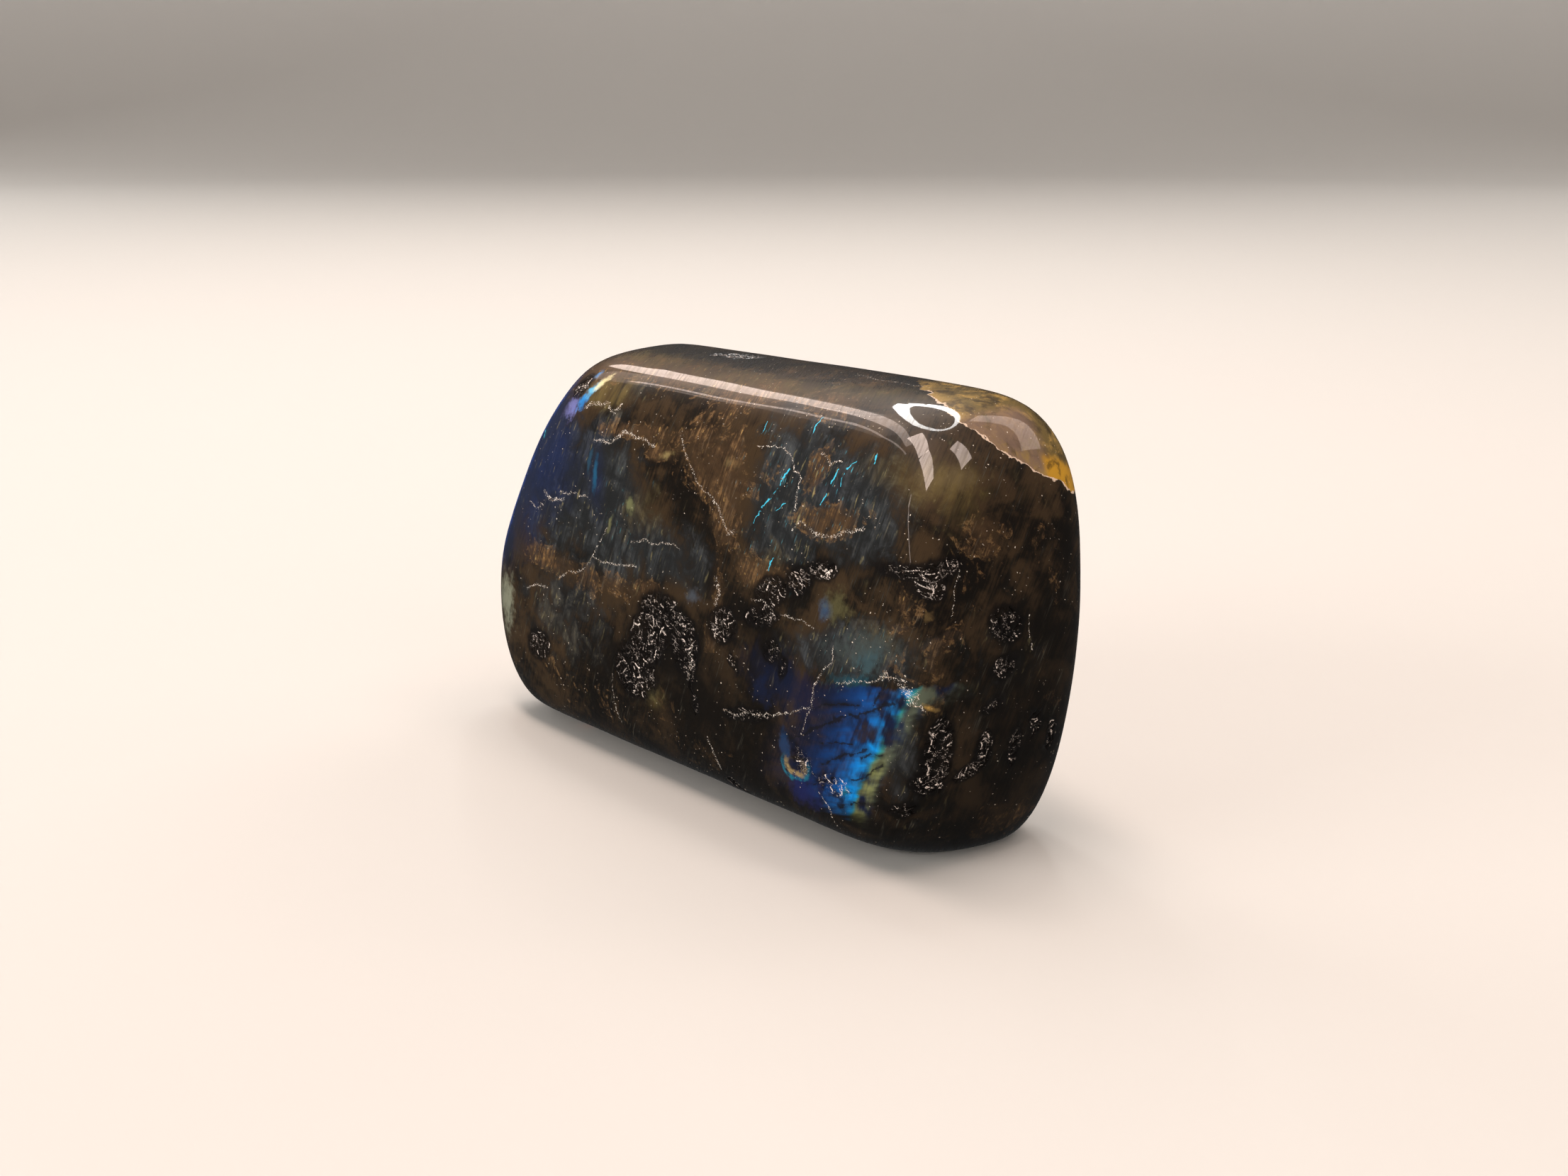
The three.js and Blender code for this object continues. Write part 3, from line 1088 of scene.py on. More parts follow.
stroke_noise = mottle(place, 1.4, detail=3, roughness=0.7)
stroke_swell = maths("MAXIMUM", maths("MULTIPLY_ADD", stroke_noise, 5, -1.8), 0.05)
print("strokes swell and thin with noise")

# %% Cracks that stay dark, across the flash
# flat place, points across and up, half width in mm
DARK_CRACKS = [
    (on_front, [(39.3, 25.7), (43.6, 27.3), (50.9, 29.0)], 0.5),
    (on_front, [(38.1, 20.7), (43.6, 23.8), (53.9, 28.8), (60.5, 31.6)], 0.8),
    (on_front, [(54.6, 29.9), (56.8, 33.2), (58.6, 37.1)], 0.55),
    (on_front, [(30.2, 17.9), (38.1, 20.6)], 0.45),
    (on_front, [(41.7, 19.9), (49.8, 22.2)], 0.45),
    (on_front, [(41.5, 16.6), (46.6, 19.2), (53.5, 21.7)], 0.55),
    (on_front, [(52.1, 20.2), (56.4, 21.7)], 0.4),
    (on_front, [(48.7, 15.5), (52.8, 17.2), (56.6, 19.9)], 0.45),
    (on_front, [(32.8, 9.6), (39.8, 12.3)], 0.5),
    (on_front, [(45.1, 9.7), (51.9, 11.9)], 0.4),
]
CRACK_DARK = (0.008, 0.008, 0.01)

dark_reach = nearest_stroke(DARK_CRACKS)
dark_haze = times(step_up(dark_reach, 2.6, 0.4), step_up(mid_mottle, 0.38, 0.58))
colour = painted(colour, CRACK_DARK, times(dark_haze, 0.6))
dark_line = step_up(maths("DIVIDE", dark_reach, stroke_swell), 0.7, 0.2)
colour = painted(colour, CRACK_DARK, times(dark_line, 0.85))
print("dark cracks:", len(DARK_CRACKS))

# %% [markdown]
# ## Spots and hazes
#
# Where a layer meets the polish at a glance it makes a small spot of colour. A Mapping node shifts,
# turns and squeezes the coordinates so that the spot's oval becomes a round ball of size one, and the
# length of what comes out says how far from its middle a place is.

# %% A helper for spots
SPOT_DEPTH = 4


def spot_distance(flat, middle, size, lean=0.0):
    node = tree.nodes.new("ShaderNodeMapping")
    node.vector_type = "TEXTURE"
    feed(node.inputs["Vector"], flat)
    node.inputs["Location"].default_value = (*middle, 0)
    node.inputs["Rotation"].default_value = (0, 0, math.radians(lean))
    node.inputs["Scale"].default_value = (size[0] / 2, size[1] / 2, SPOT_DEPTH)
    return arrows("LENGTH", node.outputs["Vector"])


def spot_share(flat, middle, size, lean, strength):
    """A soft oval torn by noise: strength in its middle and nothing outside."""
    reach = plus(spot_distance(flat, middle, size, lean), spot_tear)
    return times(step_up(reach, 1.15, 0.1), strength)


spot_noises = plus(plus(fine_mottle, mid_mottle), broad_streaks)
spot_tear = maths("MULTIPLY_ADD", spot_noises, 1.6, -2.4)
print("a spot reaches", SPOT_DEPTH, "mm in")

# %% Paint the spots
PALE_GREEN = (0.24, 0.26, 0.19)
LILAC = (0.16, 0.17, 0.42)
SKY = (0.12, 0.42, 0.64)
CREAM = (0.7, 0.62, 0.34)
# flat place, middle across and up, width and height, lean in degrees, strength, colour
SPOTS = [
    (on_front, (-59.5, 24.0), (11, 13), 0, 0.75, PALE_GREEN),
    (on_front, (6.5, 38.2), (6, 2.8), 10, 0.45, (0.08, 0.105, 0.14)),
    (on_front, (33, 29.5), (18, 9), -12, 0.5, (0.004, 0.009, 0.03)),
    (on_front, (26, 25.5), (8, 6), 0, 0.5, (0.006, 0.014, 0.05)),
    (on_front, (38, 27.5), (8, 10), 0, 0.5, (0.01, 0.01, 0.032)),
    (on_front, (36.5, 9.5), (9, 8), 20, 0.7, (0.012, 0.018, 0.1)),
    (on_front, (52, 38.4), (19, 9), 14, 0.7, (0.055, 0.072, 0.07)),
    (on_front, (53, 37.0), (9, 4), 20, 0.45, (0.03, 0.085, 0.11)),
    (on_front, (49.5, 32.8), (12, 3.4), 14, 0.4, (0.01, 0.1, 0.15)),
    (on_front, (42.6, 43.4), (4, 4), 0, 0.6, (0.01, 0.075, 0.19)),
    (on_front, (45.8, 44.0), (9, 6), 0, 0.6, (0.11, 0.1, 0.042)),
    (on_right, (-10, 66.5), (13, 4), 8, 0.4, (0.12, 0.09, 0.04)),
    (on_front, (32.0, 17.5), (3.0, 7), 10, 0.6, (0.01, 0.045, 0.13)),
    (on_front, (47.6, 13.0), (2.4, 2.4), 0, 0.9, (0.01, 0.2, 0.36)),
    (on_front, (-37.5, 65.6), (7, 4.4), 50, 0.8, LILAC),
    (on_front, (-34.6, 67.5), (5.6, 3.0), 48, 0.95, (0.01, 0.2, 0.56)),
    (on_front, (-33.2, 69.3), (4.6, 2.2), 52, 0.95, SKY),
    (on_front, (-31.9, 70.9), (4.0, 2.2), 60, 0.95, CREAM),
    (on_front, (-35.9, 71.4), (2.6, 2.4), 60, 0.8, (0.06, 0.23, 0.5)),
    (on_front, (-46.6, 59.4), (3.2, 2.4), 50, 0.9, (0.01, 0.2, 0.26)),
    (on_front, (-25.0, 55.0), (1.6, 8), 3, 0.8, (0.012, 0.085, 0.17)),
    (on_front, (-27.4, 57.0), (1.3, 5), 0, 0.6, (0.02, 0.07, 0.12)),
    (on_front, (-6.0, 16.6), (4.4, 3.2), 0, 0.7, (0.13, 0.11, 0.045)),
    (on_front, (-13.2, 51.0), (2.6, 3.4), 35, 0.7, (0.17, 0.18, 0.08)),
    (on_front, (-19.4, 46.6), (1.2, 5.0), -38, 0.7, (0.15, 0.15, 0.07)),
    (on_front, (-4.0, 61.6), (5.5, 1.5), 18, 0.8, (0.22, 0.17, 0.07)),
    (on_front, (14.8, 63.2), (4.4, 2.6), 8, 0.6, (0.2, 0.14, 0.06)),
    # painted glint: the orange-red spark low at the foot is a reflection laid into the colour
    (on_front, (-42, 0.9), (5, 2.0), 0, 0.9, (0.48, 0.12, 0.04)),
    (on_right, (-19.0, 31.4), (2.4, 1.3), -6, 0.95, (0.48, 0.29, 0.07)),
    (on_right, (-17.4, 31.0), (2.0, 1.0), 0, 0.6, (0.22, 0.14, 0.045)),
    (on_right, (-19.2, 46.5), (1.2, 2.0), 0, 0.4, (0.2, 0.13, 0.05)),
]

for flat, middle, size, lean, strength, paint in SPOTS:
    colour = painted(colour, paint, spot_share(flat, middle, size, lean, strength))
print("spots:", len(SPOTS))

# %% [markdown]
# Low on the front a little ring of gold with a cyan rim sits round a pitted hollow. The distance from
# its middle is enough for both bands.

# %% The little ring
ring_reach = spot_distance(on_front, (34.6, 14.4), (6.0, 5.0), 25)
ring_side = step_up(along_z, 16.5, 13.5)
cyan_band = times(step_up(ring_reach, 1.45, 1.2), step_up(ring_reach, 0.85, 1.1), ring_side)
gold_band = times(step_up(ring_reach, 1.1, 0.85), step_up(ring_reach, 0.4, 0.7), ring_side)
ring_breaks = step_up(fine_mottle, 0.34, 0.6)
colour = painted(colour, (0.01, 0.18, 0.28), times(cyan_band, ring_breaks, 0.7))
colour = painted(colour, (0.36, 0.26, 0.11), times(gold_band, ring_breaks, 0.8))
print("ring painted")

# %% [markdown]
# ## The blue sheet on the left
#
# The second flash runs down the turn at the left end. It begins as a slate-blue haze, is brightest in a
# narrow line, and goes on round the end as deeper blue and teal.

# %% Lay in the left sheet
SHEET_FROM = 0.56
SHEET_TO = -0.94

# painted sheen: the sheet's colours follow how squarely each point faces the camera, brightest where it
# turns away
facing = plus(kept("facing"), swing(mid_mottle, 0.36))
sheet_run = colour_run(facing, SHEET_FROM, SHEET_TO, [
    (0.5, (0.016, 0.02, 0.034)),
    (0.34, (0.01, 0.018, 0.058)),
    (0.22, (0.01, 0.062, 0.32)),
    (0.13, (0.024, 0.18, 0.85)),
    (0.02, (0.024, 0.16, 0.68)),
    (-0.14, (0.007, 0.056, 0.23)),
    (-0.36, (0.006, 0.03, 0.105)),
    (-0.62, (0.012, 0.06, 0.08)),
])
sheet_heights = times(step_up(along_z, 27, 36), step_up(along_z, 73, 64), step_up(along_y, 20, 4))
sheet_patches = plus(big_mottle, mottle(layered(1.1, 8), 1, detail=3))
sheet_breaks = maths("MAXIMUM", step_up(sheet_patches, 0.84, 1.14), times(step_up(facing, -0.05, 0.2), 0.8))
sheet_ends = times(step_up(facing, 0.56, 0.38), step_up(facing, -0.86, -0.2))
sheet_share = times(sheet_ends, step_up(along_x, -34, -44), sheet_heights, sheet_breaks)
colour = painted(colour, sheet_run, sheet_share)
print("left sheet laid in")

# %% [markdown]
# ## Fire on the hidden back
#
# The photograph doesn't show the back. A stone of this kind flashes wherever the layers meet the polish
# at the right angle, so a broken flash is given to the back too, with the same colours.

# %% Lay fire into the back
back_total = torn(kept("back_flash"), mid_mottle, softness=0.15, amount=1.2, threshold=0.55)
back_run = colour_run(big_mottle, 0, 1, [
    (0.36, DEEP_BLUE), (0.46, BLUE), (0.54, SEA_BLUE), (0.6, AZURE), (0.66, SEA_GREEN), (0.74, RIM_GOLD),
])
back_share = times(back_total, step_up(broad_streaks, 0.3, 0.62), step_up(along_y, 2, 12))
colour = painted(colour, back_run, back_share)
print("back flash laid in")

# %% [markdown]
# ## The olive cap
#
# One corner, high on the right, lies beyond a flat crack. The feldspar there is clearer and olive-gold,
# with an amber wedge at its lower end. The crack is a plane, so the cap is simply all that lies on its
# far side, and the pale line is where the distance to the plane is nearly nothing.

# %% Paint the cap
CAP_POINT = Vector((56.3, -2.5, 73.3))
CAP_NORMAL = Vector((0.313, 0.467, 0.827)).normalized()
CAP_OLIVE = (0.13, 0.092, 0.03)
CAP_GOLD = (0.4, 0.255, 0.07)
CAP_DARK = (0.028, 0.019, 0.009)
CAP_PINK_SHEEN = (0.17, 0.112, 0.085)
AMBER = (0.47, 0.25, 0.02)
CRACK_PALE = (0.6, 0.46, 0.35)
GLINT = (0.9, 0.84, 0.76)

past_cap = arrows("DOT_PRODUCT", arrows("SUBTRACT", ragged, CAP_POINT), CAP_NORMAL)
cap_share = times(step_up(past_cap, -0.05, 0.15), step_up(along_x, 30, 38))
cap_grain = mottle(ragged, 2.4, detail=4, roughness=0.62, distortion=0.4)
gold_share = times(step_up(cap_grain, 0.4, 0.66), step_up(mid_mottle, 0.4, 0.6))
gold_by_crack = times(step_up(past_cap, 2.6, 0.2), 0.7)
cap_colour = painted(CAP_OLIVE, CAP_GOLD, maths("MAXIMUM", gold_share, gold_by_crack))
cap_dark = step_up(mottle(ragged, 4.2, detail=5, roughness=0.66, distortion=0.5), 0.46, 0.62)
cap_colour = painted(cap_colour, CAP_DARK, times(cap_dark, 0.8))
# painted reflection: a dusky pink sheen on the cap's front corner, laid into its colour
pink_sheen_share = times(step_up(along_x, 53, 57), step_up(along_y, 11, 7), step_up(along_z, 64, 67))
cap_colour = painted(cap_colour, CAP_PINK_SHEEN, times(pink_sheen_share, step_up(mid_mottle, 0.3, 0.55), 0.8))
amber_share = times(step_up(past_cap, 3.6, 2.2), step_up(along_z, 69.5, 67.5), step_up(along_y, 7, 9))
amber_colour = painted(AMBER, CAP_DARK, times(step_up(cap_grain, 0.5, 0.66), 0.7))
cap_colour = painted(cap_colour, amber_colour, amber_share)
colour = painted(colour, cap_colour, times(cap_share, 0.92))
cap_reach = maths("DIVIDE", maths("ABSOLUTE", past_cap), stroke_swell)
cap_crack = times(step_up(cap_reach, 0.22, 0.06), step_up(along_x, 38, 41))
colour = painted(colour, CRACK_PALE, cap_crack)
print("cap lies beyond", [round(number, 2) for number in CAP_NORMAL])

# %% [markdown]
# ## Dark ground round the pits
#
# Between the pits the stone is nearly black. Where the flash shines through a pitted patch it stays.

# %% Darken the pitted ground
PIT_BLACK = (0.005, 0.0042, 0.004)

pitted_share = times(kept("pitted"), maths("SUBTRACT", 1, times(flash_share, 0.8)))
colour = painted(colour, PIT_BLACK, times(torn(pitted_share, fine_mottle, 0.35, 1.0), 0.85))
print("pitted ground darkened")

# %% List the pale cracks
# flat place, points across and up, half width in mm
PALE_CRACKS = [
    (on_front, [(-27, 61.1), (-23.5, 61.5), (-21.5, 61.9), (-19.7, 62.7), (-17.5, 64.1)], 0.3),
    (on_front, [(-17.5, 64.1), (-14.1, 63.3), (-10.2, 63.3), (-7.5, 62.7)], 0.26),
    (on_front, [(-33, 66.4), (-29.5, 67.4), (-25.6, 67.6), (-22.5, 66.6), (-21.6, 68.2)], 0.29),
    (on_front, [(-42.6, 49.3), (-41.2, 48.2), (-38.6, 48.0), (-35.1, 48.8)], 0.29),
    (on_front, [(-36.8, 49.7), (-32.3, 50.0), (-26.9, 50.1)], 0.16),
    (on_front, [(-48.4, 46.3), (-46.0, 45.4), (-43.0, 46.3)], 0.18),
    (on_front, [(-48.6, 28.6), (-44.8, 29.7), (-41.2, 30.5)], 0.21),
    (on_front, [(-36.3, 33.4), (-32.9, 35.2), (-28.2, 35.9)], 0.24),
    (on_front, [(-28.2, 35.9), (-25.9, 38.1), (-24.7, 40.6), (-22.7, 43.6), (-20.5, 46)], 0.1),
    (on_front, [(-24.7, 39.6), (-22.3, 38.9), (-18.7, 39.2), (-14.3, 40.1), (-10.7, 40.3)], 0.2),
    (on_front, [(-12.9, 44.3), (-8.0, 45.7), (-3.2, 46.1), (2.3, 45.8)], 0.16),
    (on_front, [(-1.2, 66.1), (3.4, 61.0), (6.4, 58.3), (10.1, 57.1), (12.2, 55.6)], 0.13),
    (on_front, [(11.4, 55.9), (13.6, 54.8), (15.7, 51.4), (18.2, 52.3)], 0.26),
    (on_front, [(13.2, 43.0), (14.0, 40.4), (12.6, 38.0)], 0.36),
    (on_front, [(19.7, 66.6), (23.9, 67.2), (27.0, 67.4), (29.4, 66.2)], 0.12),
    (on_front, [(29.4, 66.2), (30.7, 64.6), (33.1, 63.0), (32.9, 61.2), (33.2, 59.5), (33.3, 57.7)], 0.18),
    (on_front, [(36.1, 67.6), (38.2, 67.1), (39.1, 66.5), (41.8, 67.2)], 0.16),
    (on_front, [(32.8, 54.7), (35.4, 56.2), (37.4, 55.4), (38.4, 54.6)], 0.18),
    (on_front, [(38.4, 54.6), (42.1, 55.5), (45.0, 56.1), (47.5, 57.1), (49.8, 58.3)], 0.3),
    (on_front, [(44.8, 38.0), (44.4, 34.8), (41.9, 32.6), (39.8, 29.2), (39.3, 25.7)], 0.22),
    (on_front, [(39.3, 25.7), (34.5, 23.7), (29.6, 22.3), (23.8, 20.7), (15.1, 18.9)], 0.18),
    (on_front, [(39.3, 25.7), (38.2, 23.4), (37.0, 20.5)], 0.13),
    (on_front, [(46.4, 31.5), (50.5, 32.9), (55.2, 33.8), (56.5, 35.0), (61.6, 35.3)], 0.2),
    (on_front, [(56.5, 34.4), (57.6, 35.9), (58.4, 34.7)], 0.27),
    (on_front, [(40.1, 10.6), (41.8, 8.1), (42.4, 4.1)], 0.12),
    (on_front, [(5.8, 30.0), (5.6, 26.8), (5.9, 24.8), (5.3, 22.4)], 0.27),
    (on_front, [(23.2, 41.2), (26.4, 40.7), (29.3, 40.0)], 0.2),
    (on_front, [(31.0, 40.2), (39.6, 39.9)], 0.16),
    (on_front, [(9.4, 12.5), (10.6, 9.4), (11.2, 7.0)], 0.24),
    (on_front, [(-19.2, 18.0), (-19.6, 12.4), (-18.8, 8.2)], 0.17),
    (on_right, [(-13.9, 53.4), (-15.1, 50.1), (-16.0, 46.0)], 0.09),
    (on_right, [(-21, 34.6), (-20.5, 31.6), (-19.6, 30.6)], 0.2),
    (on_right, [(0.2, 44), (0.8, 39.5), (1.8, 37.5)], 0.12),
    (on_top, [(20, 4.6), (34, 4.2), (40.1, 4.1)], 0.13),
    (on_back, [(-44, 18), (-32, 24), (-20, 23), (-6, 31), (4, 30), (17, 38)], 0.22),
    (on_back, [(-6, 31), (-9, 40), (-4, 50), (-7, 60)], 0.16),
    (on_back, [(22, 60), (34, 55), (44, 57)], 0.19),
    (on_left, [(-12, 22), (-4, 27), (6, 25), (14, 31)], 0.17),
]

crack_reach = nearest_stroke(PALE_CRACKS)
crack_line = step_up(maths("DIVIDE", crack_reach, stroke_swell), 0.48, 0.1)
crack_colour = painted(GOLD_BROWN, CRACK_PALE, step_up(mid_mottle, 0.42, 0.56))
colour = painted(colour, crack_colour, times(crack_line, step_up(fine_mottle, 0.42, 0.6), 0.55))
crack_glints = times(step_up(crack_reach, 1.6, 0.6), step_up(glints, 0.57, 0.65))
colour = painted(colour, GLINT, times(crack_glints, 0.85))
print("pale cracks:", len(PALE_CRACKS))

# %% List the cyan strokes
# flat place, points across and up, half width in mm
CYAN_STROKES = [
    (on_front, [(29.6, 64.4), (28.4, 61.6)], 0.3),
    (on_front, [(28.0, 61.0), (26.6, 58.9)], 0.14),
    (on_front, [(26.6, 58.9), (24.4, 57.1)], 0.24),
    (on_front, [(30.8, 58.6), (28.6, 56.8)], 0.2),
    (on_front, [(31.2, 72.4), (31.6, 70.4)], 0.27),
    (on_front, [(19.4, 70.6), (19.6, 68.4)], 0.2),
    (on_front, [(44.8, 67.8), (43.8, 66.4)], 0.32),
    (on_front, [(43.5, 65.4), (43.2, 63.4)], 0.17),
    (on_front, [(42.0, 66.0), (40.8, 63.8)], 0.32),
    (on_front, [(40.0, 61.8), (39.0, 59.8)], 0.16),
    (on_front, [(48.4, 69.2), (48.8, 67.8)], 0.25),
    (on_front, [(28.4, 49.4), (27.3, 47.2)], 0.24),
    (on_front, [(24.2, 56.4), (23.0, 54.4)], 0.16),
    (on_front, [(-47.6, 59.9), (-46.4, 58.6)], 0.36),
]
STROKE_CYAN = (0.06, 0.5, 0.7)

cyan_reach = maths("DIVIDE", nearest_stroke(CYAN_STROKES), stroke_swell)
colour = painted(colour, STROKE_CYAN, step_up(cyan_reach, 0.8, 0.2))
print("cyan strokes:", len(CYAN_STROKES))

# %% [markdown]
# ## Pits and specks
#
# The pits' torn floors scatter the light and look pale, and hair-fine torn lines run between them:
# they lie where a noise passes through its middle value. The specks are tiny open grains. Voronoi
# noise scatters points through the stone, and a place that is close enough to one is a speck. Only
# some cells get one, and they crowd where a broad noise is high.

# %% Paint the pits and scatter the specks
PIT_PALE = (0.9, 0.79, 0.72)
SPECK_PALE = (0.8, 0.7, 0.58)
HARD_STEP = 0.001


def specks(size, reach, share_of_cells, where):
    node = tree.nodes.new("ShaderNodeTexVoronoi")
    feed(node.inputs["Vector"], where)
    node.inputs["Scale"].default_value = 1 / size
    distance = maths("MULTIPLY", node.outputs["Distance"], size)
    parts = tree.nodes.new("ShaderNodeSeparateColor")
    feed(parts.inputs[0], node.outputs["Color"])
    chosen = step_up(parts.outputs[0], 1 - share_of_cells, 1 - share_of_cells + HARD_STEP)
    return times(step_up(distance, reach, reach * 0.5), chosen)


pit_glints = times(step_up(kept("pit_pale"), 0.5, 0.85), step_up(glints, 0.42, 0.54))
colour = painted(colour, PIT_PALE, pit_glints)
worm_up = maths("MULTIPLY_ADD", along_x, 0.4, times(along_z, 1.7))
worm_noise = mottle(three(times(along_x, 0.7), along_y, worm_up), 1.3, detail=2, distortion=0.8)
worm_lines = step_up(maths("ABSOLUTE", maths("SUBTRACT", worm_noise, 0.5)), 0.024, 0.006)
worm_places = times(step_up(kept("pitted"), 0.8, 1.0), step_up(fine_mottle, 0.48, 0.6))
worm_share = times(worm_lines, worm_places, step_up(glints, 0.42, 0.56))
colour = painted(colour, PIT_PALE, times(worm_share, 0.8))
crowds = step_up(mottle(place, 9, detail=3, roughness=0.6), 0.44, 0.62)
colour = painted(colour, SPECK_PALE, times(specks(0.9, 0.11, 0.6, ragged), crowds))
large_specks = times(specks(2.2, 0.16, 0.5, ragged), step_up(mid_mottle, 0.44, 0.6))
colour = painted(colour, SPECK_PALE, large_specks)
print("pits and specks painted")

# %% [markdown]
# ## The finish
#
# The polish is a clear hard gloss over a softer inner glow. The coat gives the mirror-like shine, and
# the base under it is only half smooth, as light that returns from inside the stone is. The coat is a
# little thinner along the layers, so the highlights show their grain.

# %% Wire the shader
BASE_ROUGHNESS = 0.4
BASE_SPECULAR = 0.1
COAT_ROUGHNESS = 0.03
COAT_IOR = 1.4

feed(skin_shader.inputs["Base Color"], colour)
skin_shader.inputs["Roughness"].default_value = BASE_ROUGHNESS
skin_shader.inputs["Specular IOR Level"].default_value = BASE_SPECULAR
skin_shader.inputs["Coat Roughness"].default_value = COAT_ROUGHNESS
skin_shader.inputs["Coat IOR"].default_value = COAT_IOR
coat_texture = maths("MULTIPLY_ADD", step_up(fine_streaks, 0.3, 0.62), 0.4, 0.6)
feed(skin_shader.inputs["Coat Weight"], times(step_up(kept("pit"), 0.8, 0.1), coat_texture))
stone_mesh.materials.append(polish)
print("nodes:", len(tree.nodes))

# %% [markdown]
# ## Floor and light
#
# A plain pale floor and soft lamps. The sheet of paper curves up into a wall, and is painted lighter
# there, because the lamps face the stone and leave the wall dim.

# %% The floor
FLOOR_RADIUS = 2.6
SWEEP_RADIUS = 0.9
SWEEP_STEPS = 12
SPIN_STEPS = 96
PAPER_MERGE_WITHIN = 1e-4
PAPER_ROUGHNESS = 0.8
PAPER_SPECULAR = 0.1
LIGHTER_BY_HEIGHT = 0.5
WALL_HEIGHT = 2.4
FLOOR_COLOUR = (0.5, 0.49, 0.47)
WALL_COLOUR = (0.95, 0.94, 0.92)

floor_shape = bmesh.new()
profile = [floor_shape.verts.new((0, 0, 0)), floor_shape.verts.new((FLOOR_RADIUS - SWEEP_RADIUS, 0, 0))]
for step in range(1, SWEEP_STEPS + 1):
    turn = step / SWEEP_STEPS * math.pi / 2
    out = FLOOR_RADIUS - SWEEP_RADIUS + SWEEP_RADIUS * math.sin(turn)
    profile.append(floor_shape.verts.new((out, 0, SWEEP_RADIUS * (1 - math.cos(turn)))))
profile.append(floor_shape.verts.new((FLOOR_RADIUS, 0, WALL_HEIGHT)))
for start, end in zip(profile[:-1], profile[1:]):
    floor_shape.edges.new((start, end))
bmesh.ops.spin(
    floor_shape, geom=floor_shape.verts[:] + floor_shape.edges[:], cent=(0, 0, 0), axis=(0, 0, 1),
    angle=2 * math.pi, steps=SPIN_STEPS, use_merge=True,
)
bmesh.ops.remove_doubles(floor_shape, verts=floor_shape.verts[:], dist=PAPER_MERGE_WITHIN)
bmesh.ops.recalc_face_normals(floor_shape, faces=floor_shape.faces[:])
for face in floor_shape.faces:
    face.smooth = True
floor_mesh = bpy.data.meshes.new("floor")
floor_shape.to_mesh(floor_mesh)
floor_shape.free()
floor = bpy.data.objects.new("floor", floor_mesh)
bpy.context.scene.collection.objects.link(floor)
paper = bpy.data.materials.new("pale_paper")
paper.use_nodes = True
paper_shader = paper.node_tree.nodes["Principled BSDF"]
tree = paper.node_tree
paper_apart = tree.nodes.new("ShaderNodeSeparateXYZ")
feed(paper_apart.inputs[0], tree.nodes.new("ShaderNodeTexCoord").outputs["Object"])
up_the_wall = step_up(paper_apart.outputs["Z"], 0, LIGHTER_BY_HEIGHT)
feed(paper_shader.inputs["Base Color"], painted(FLOOR_COLOUR, WALL_COLOUR, up_the_wall))
paper_shader.inputs["Roughness"].default_value = PAPER_ROUGHNESS
paper_shader.inputs["Specular IOR Level"].default_value = PAPER_SPECULAR
floor_mesh.materials.append(paper)
print("floor", 2 * FLOOR_RADIUS, "m across")

# %% [markdown]
# Two kinds of lamp do different work. Big soft fills light the stone's colour and stay out of the
# polish, where their hard edges would show. Thin strips are there for the polish: each is placed where
# the stone mirrors it into the camera, so it draws one of the highlights of the real stone. A strip is
# given by the directions of its corners as seen from the stone. The floor stays out of the polish
# too, and most of the room's light, because they would lay a pale veil over the dark stone.

# %% The lights
STONE_MIDDLE = Vector((0, 0, 40)) * MM
ROOM_LIGHT = 0.1
ROOM_KEPT_FROM_POLISH = 0.6
WARM = (1.0, 0.8, 0.7)
WHITE = (1.0, 0.97, 0.94)
# direction from the stone, distance, width and height in metres, power in watts
FILLS = {
    "overhead": ((0.15, 0.05, 1.0), 1.7, (0.8, 0.9), 3.2),
    "front": ((-0.25, -0.93, 0.26), 1.6, (1.1, 0.8), 19),
    "right": ((0.9, -0.1, 0.4), 1.7, (1.0, 1.0), 5),
    "back": ((-0.2, 0.9, 0.45), 1.7, (1.0, 1.0), 5.5),
    "left": ((-0.93, -0.1, 0.36), 1.7, (1.0, 1.0), 10),
}
# the directions of the strip's corners, thickness in degrees, brightness, colour
STRIPS = {
    "long_streak": (
        [(-0.84, 0.36, 0.41), (-0.72, 0.25, 0.65), (-0.53, 0.04, 0.85), (-0.29, -0.19, 0.94)],
        5, 4.4, WARM,
    ),
    "streak_haze": ([(-0.85, 0.24, 0.48), (-0.73, 0.16, 0.67), (-0.55, -0.05, 0.83)], 17, 0.8, WARM),
    "low_streak": (
        [(-0.83, 0.12, 0.54), (-0.74, 0.07, 0.67), (-0.6, -0.12, 0.79), (-0.25, -0.32, 0.91)],
        1.6, 4.0, WARM,
    ),
    "left_tongue": ([(-0.36, -0.01, 0.93), (0.0, -0.2, 0.98), (0.37, -0.25, 0.9)], 9, 16, WARM),
    "right_tongue": ([(0.26, 0.14, 0.96), (0.59, 0.26, 0.77)], 8, 12, WARM),
    "crest_line": ([(-0.03, -0.65, 0.76), (-0.2, -0.88, 0.44), (-0.26, -0.97, 0.08)], 1.2, 8, WARM),
    "cap_gleam": ([(-0.18, 0.51, 0.84), (0.15, 0.7, 0.7), (0.46, 0.75, 0.48)], 9, 3.6, WARM),
    "ring": ([
        (-0.7, 0.48, 0.53), (-0.64, 0.53, 0.56), (-0.51, 0.51, 0.7), (-0.23, 0.41, 0.88), (-0.1, 0.27, 0.96),
        (-0.2, 0.14, 0.97), (-0.46, 0.16, 0.88), (-0.62, 0.3, 0.72), (-0.7, 0.48, 0.53),
    ], 2.6, 15, WHITE),
}
STRIP_DISTANCE = 1.3
CORNER_CUT = 0.25


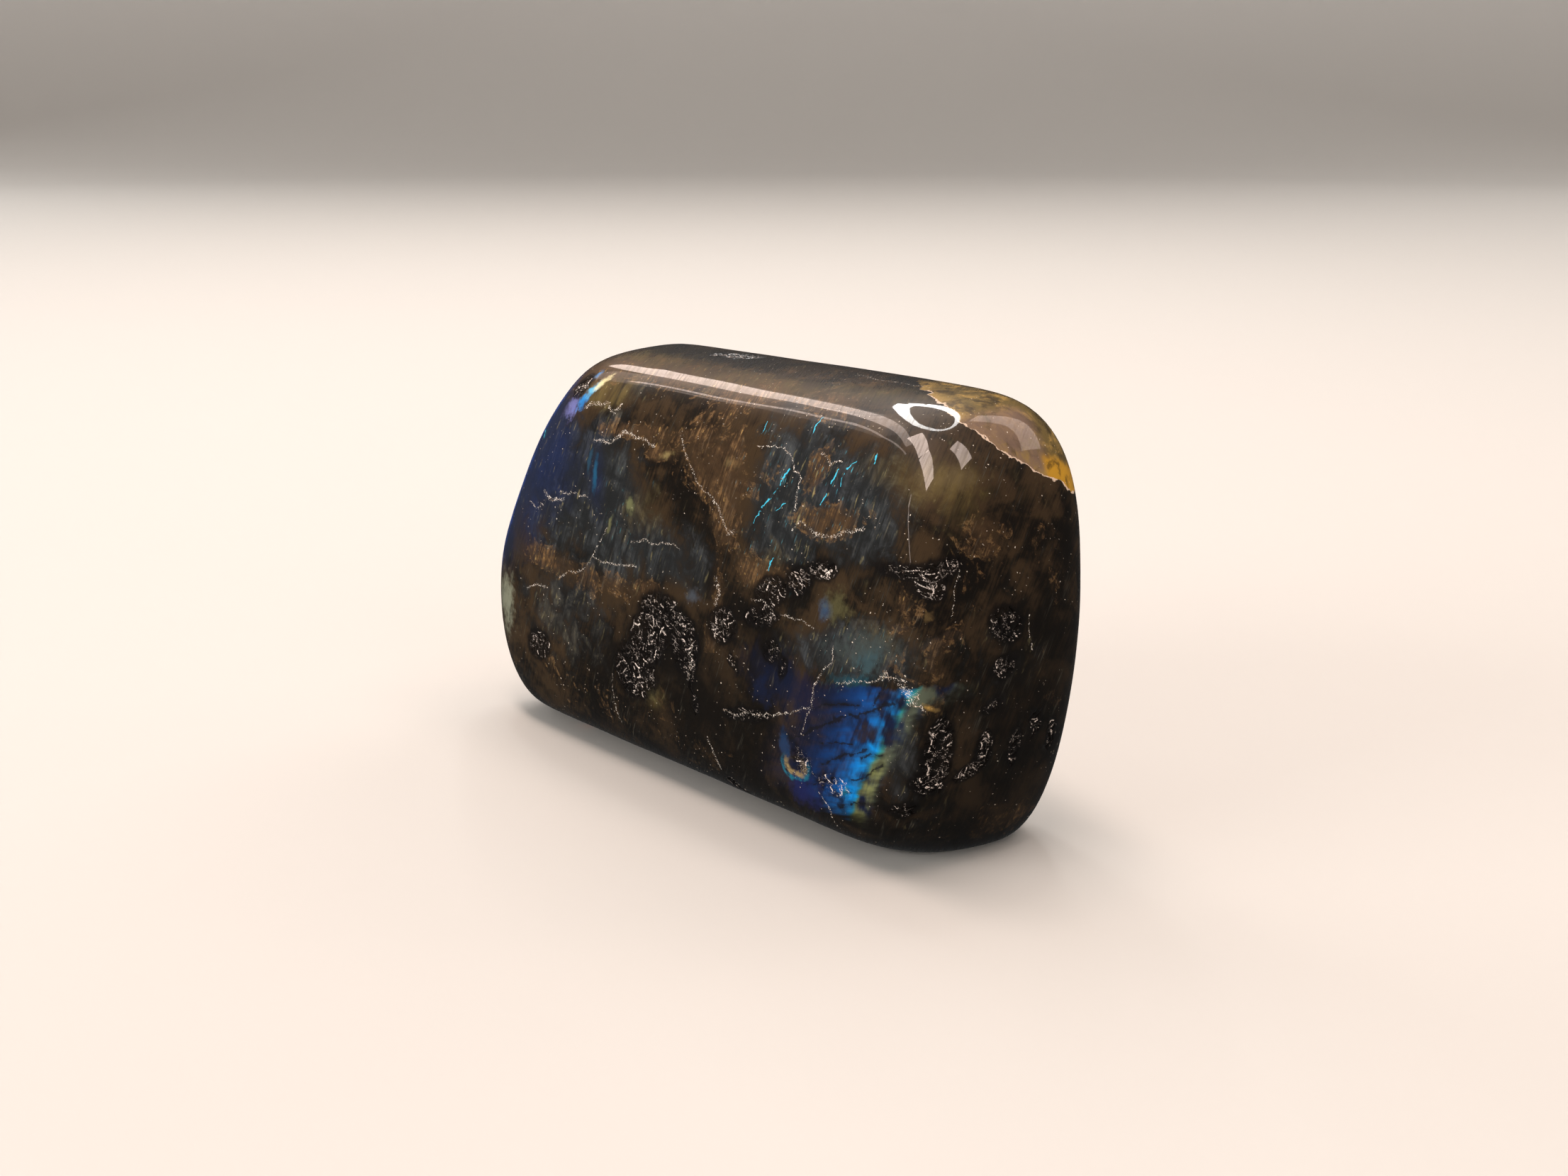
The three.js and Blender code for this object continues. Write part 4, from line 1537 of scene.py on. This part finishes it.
def new_lamp(name, direction, distance, size, power, colour):
    data = bpy.data.lights.new(name, "AREA")
    data.shape = "RECTANGLE"
    data.size, data.size_y = size
    data.energy = power
    data.color = colour
    lamp = bpy.data.objects.new(name, data)
    lamp.location = STONE_MIDDLE + direction * distance
    lamp.rotation_euler = (-direction).to_track_quat("-Z", "Y").to_euler()
    lamp.visible_camera = False
    bpy.context.scene.collection.objects.link(lamp)
    return lamp


def add_fill(name, direction, distance, size, power):
    lamp = new_lamp(name, Vector(direction).normalized(), distance, size, power, WHITE)
    lamp.visible_glossy = False


def rounded(corners):
    """Each corner of a closed strip is replaced by two points beside it."""
    points = []
    for start, end in zip(corners[:-1], corners[1:]):
        points += [start.lerp(end, CORNER_CUT), start.lerp(end, 1 - CORNER_CUT)]
    return points + [points[0]]


def add_strip(name, corners, thickness, brightness, colour):
    """One thin lamp for each run between two corners."""
    corners = [Vector(corner) for corner in corners]
    if corners[0] == corners[-1]:
        corners = rounded(corners)
    corners = [corner.normalized() for corner in corners]
    width = 2 * STRIP_DISTANCE * math.tan(math.radians(thickness) / 2)
    for start, end in zip(corners[:-1], corners[1:]):
        middle = (start + end).normalized()
        length = 2 * STRIP_DISTANCE * math.tan(start.angle(end) / 2)
        power = brightness * math.pi * length * width
        lamp = new_lamp(name, middle, STRIP_DISTANCE, (length, width), power, colour)
        along = (end - start).normalized()
        lamp.rotation_euler = Matrix((along, middle.cross(along), middle)).transposed().to_euler()


for lamp_name, row in FILLS.items():
    add_fill(lamp_name, *row)
for lamp_name, row in STRIPS.items():
    add_strip(lamp_name, *row)
floor.visible_glossy = False
world = bpy.data.worlds.new("studio")
world.use_nodes = True
world.node_tree.nodes["Background"].inputs["Color"].default_value = (1, 1, 1, 1)
tree = world.node_tree
mirrored = tree.nodes.new("ShaderNodeLightPath").outputs["Is Glossy Ray"]
room_strength = maths("MULTIPLY_ADD", mirrored, -ROOM_KEPT_FROM_POLISH * ROOM_LIGHT, ROOM_LIGHT)
feed(tree.nodes["Background"].inputs["Strength"], room_strength)
bpy.context.scene.world = world
bpy.context.scene.view_settings.view_transform = "Standard"
print("fills:", len(FILLS), "strips:", len(STRIPS))

# %% [markdown]
# ## The size, and a last update
#
# The dressed stone keeps the solid's box, to about a tenth of a millimetre. The view layer is brought up
# to date.

# %% Update the view layer
bpy.context.view_layer.update()
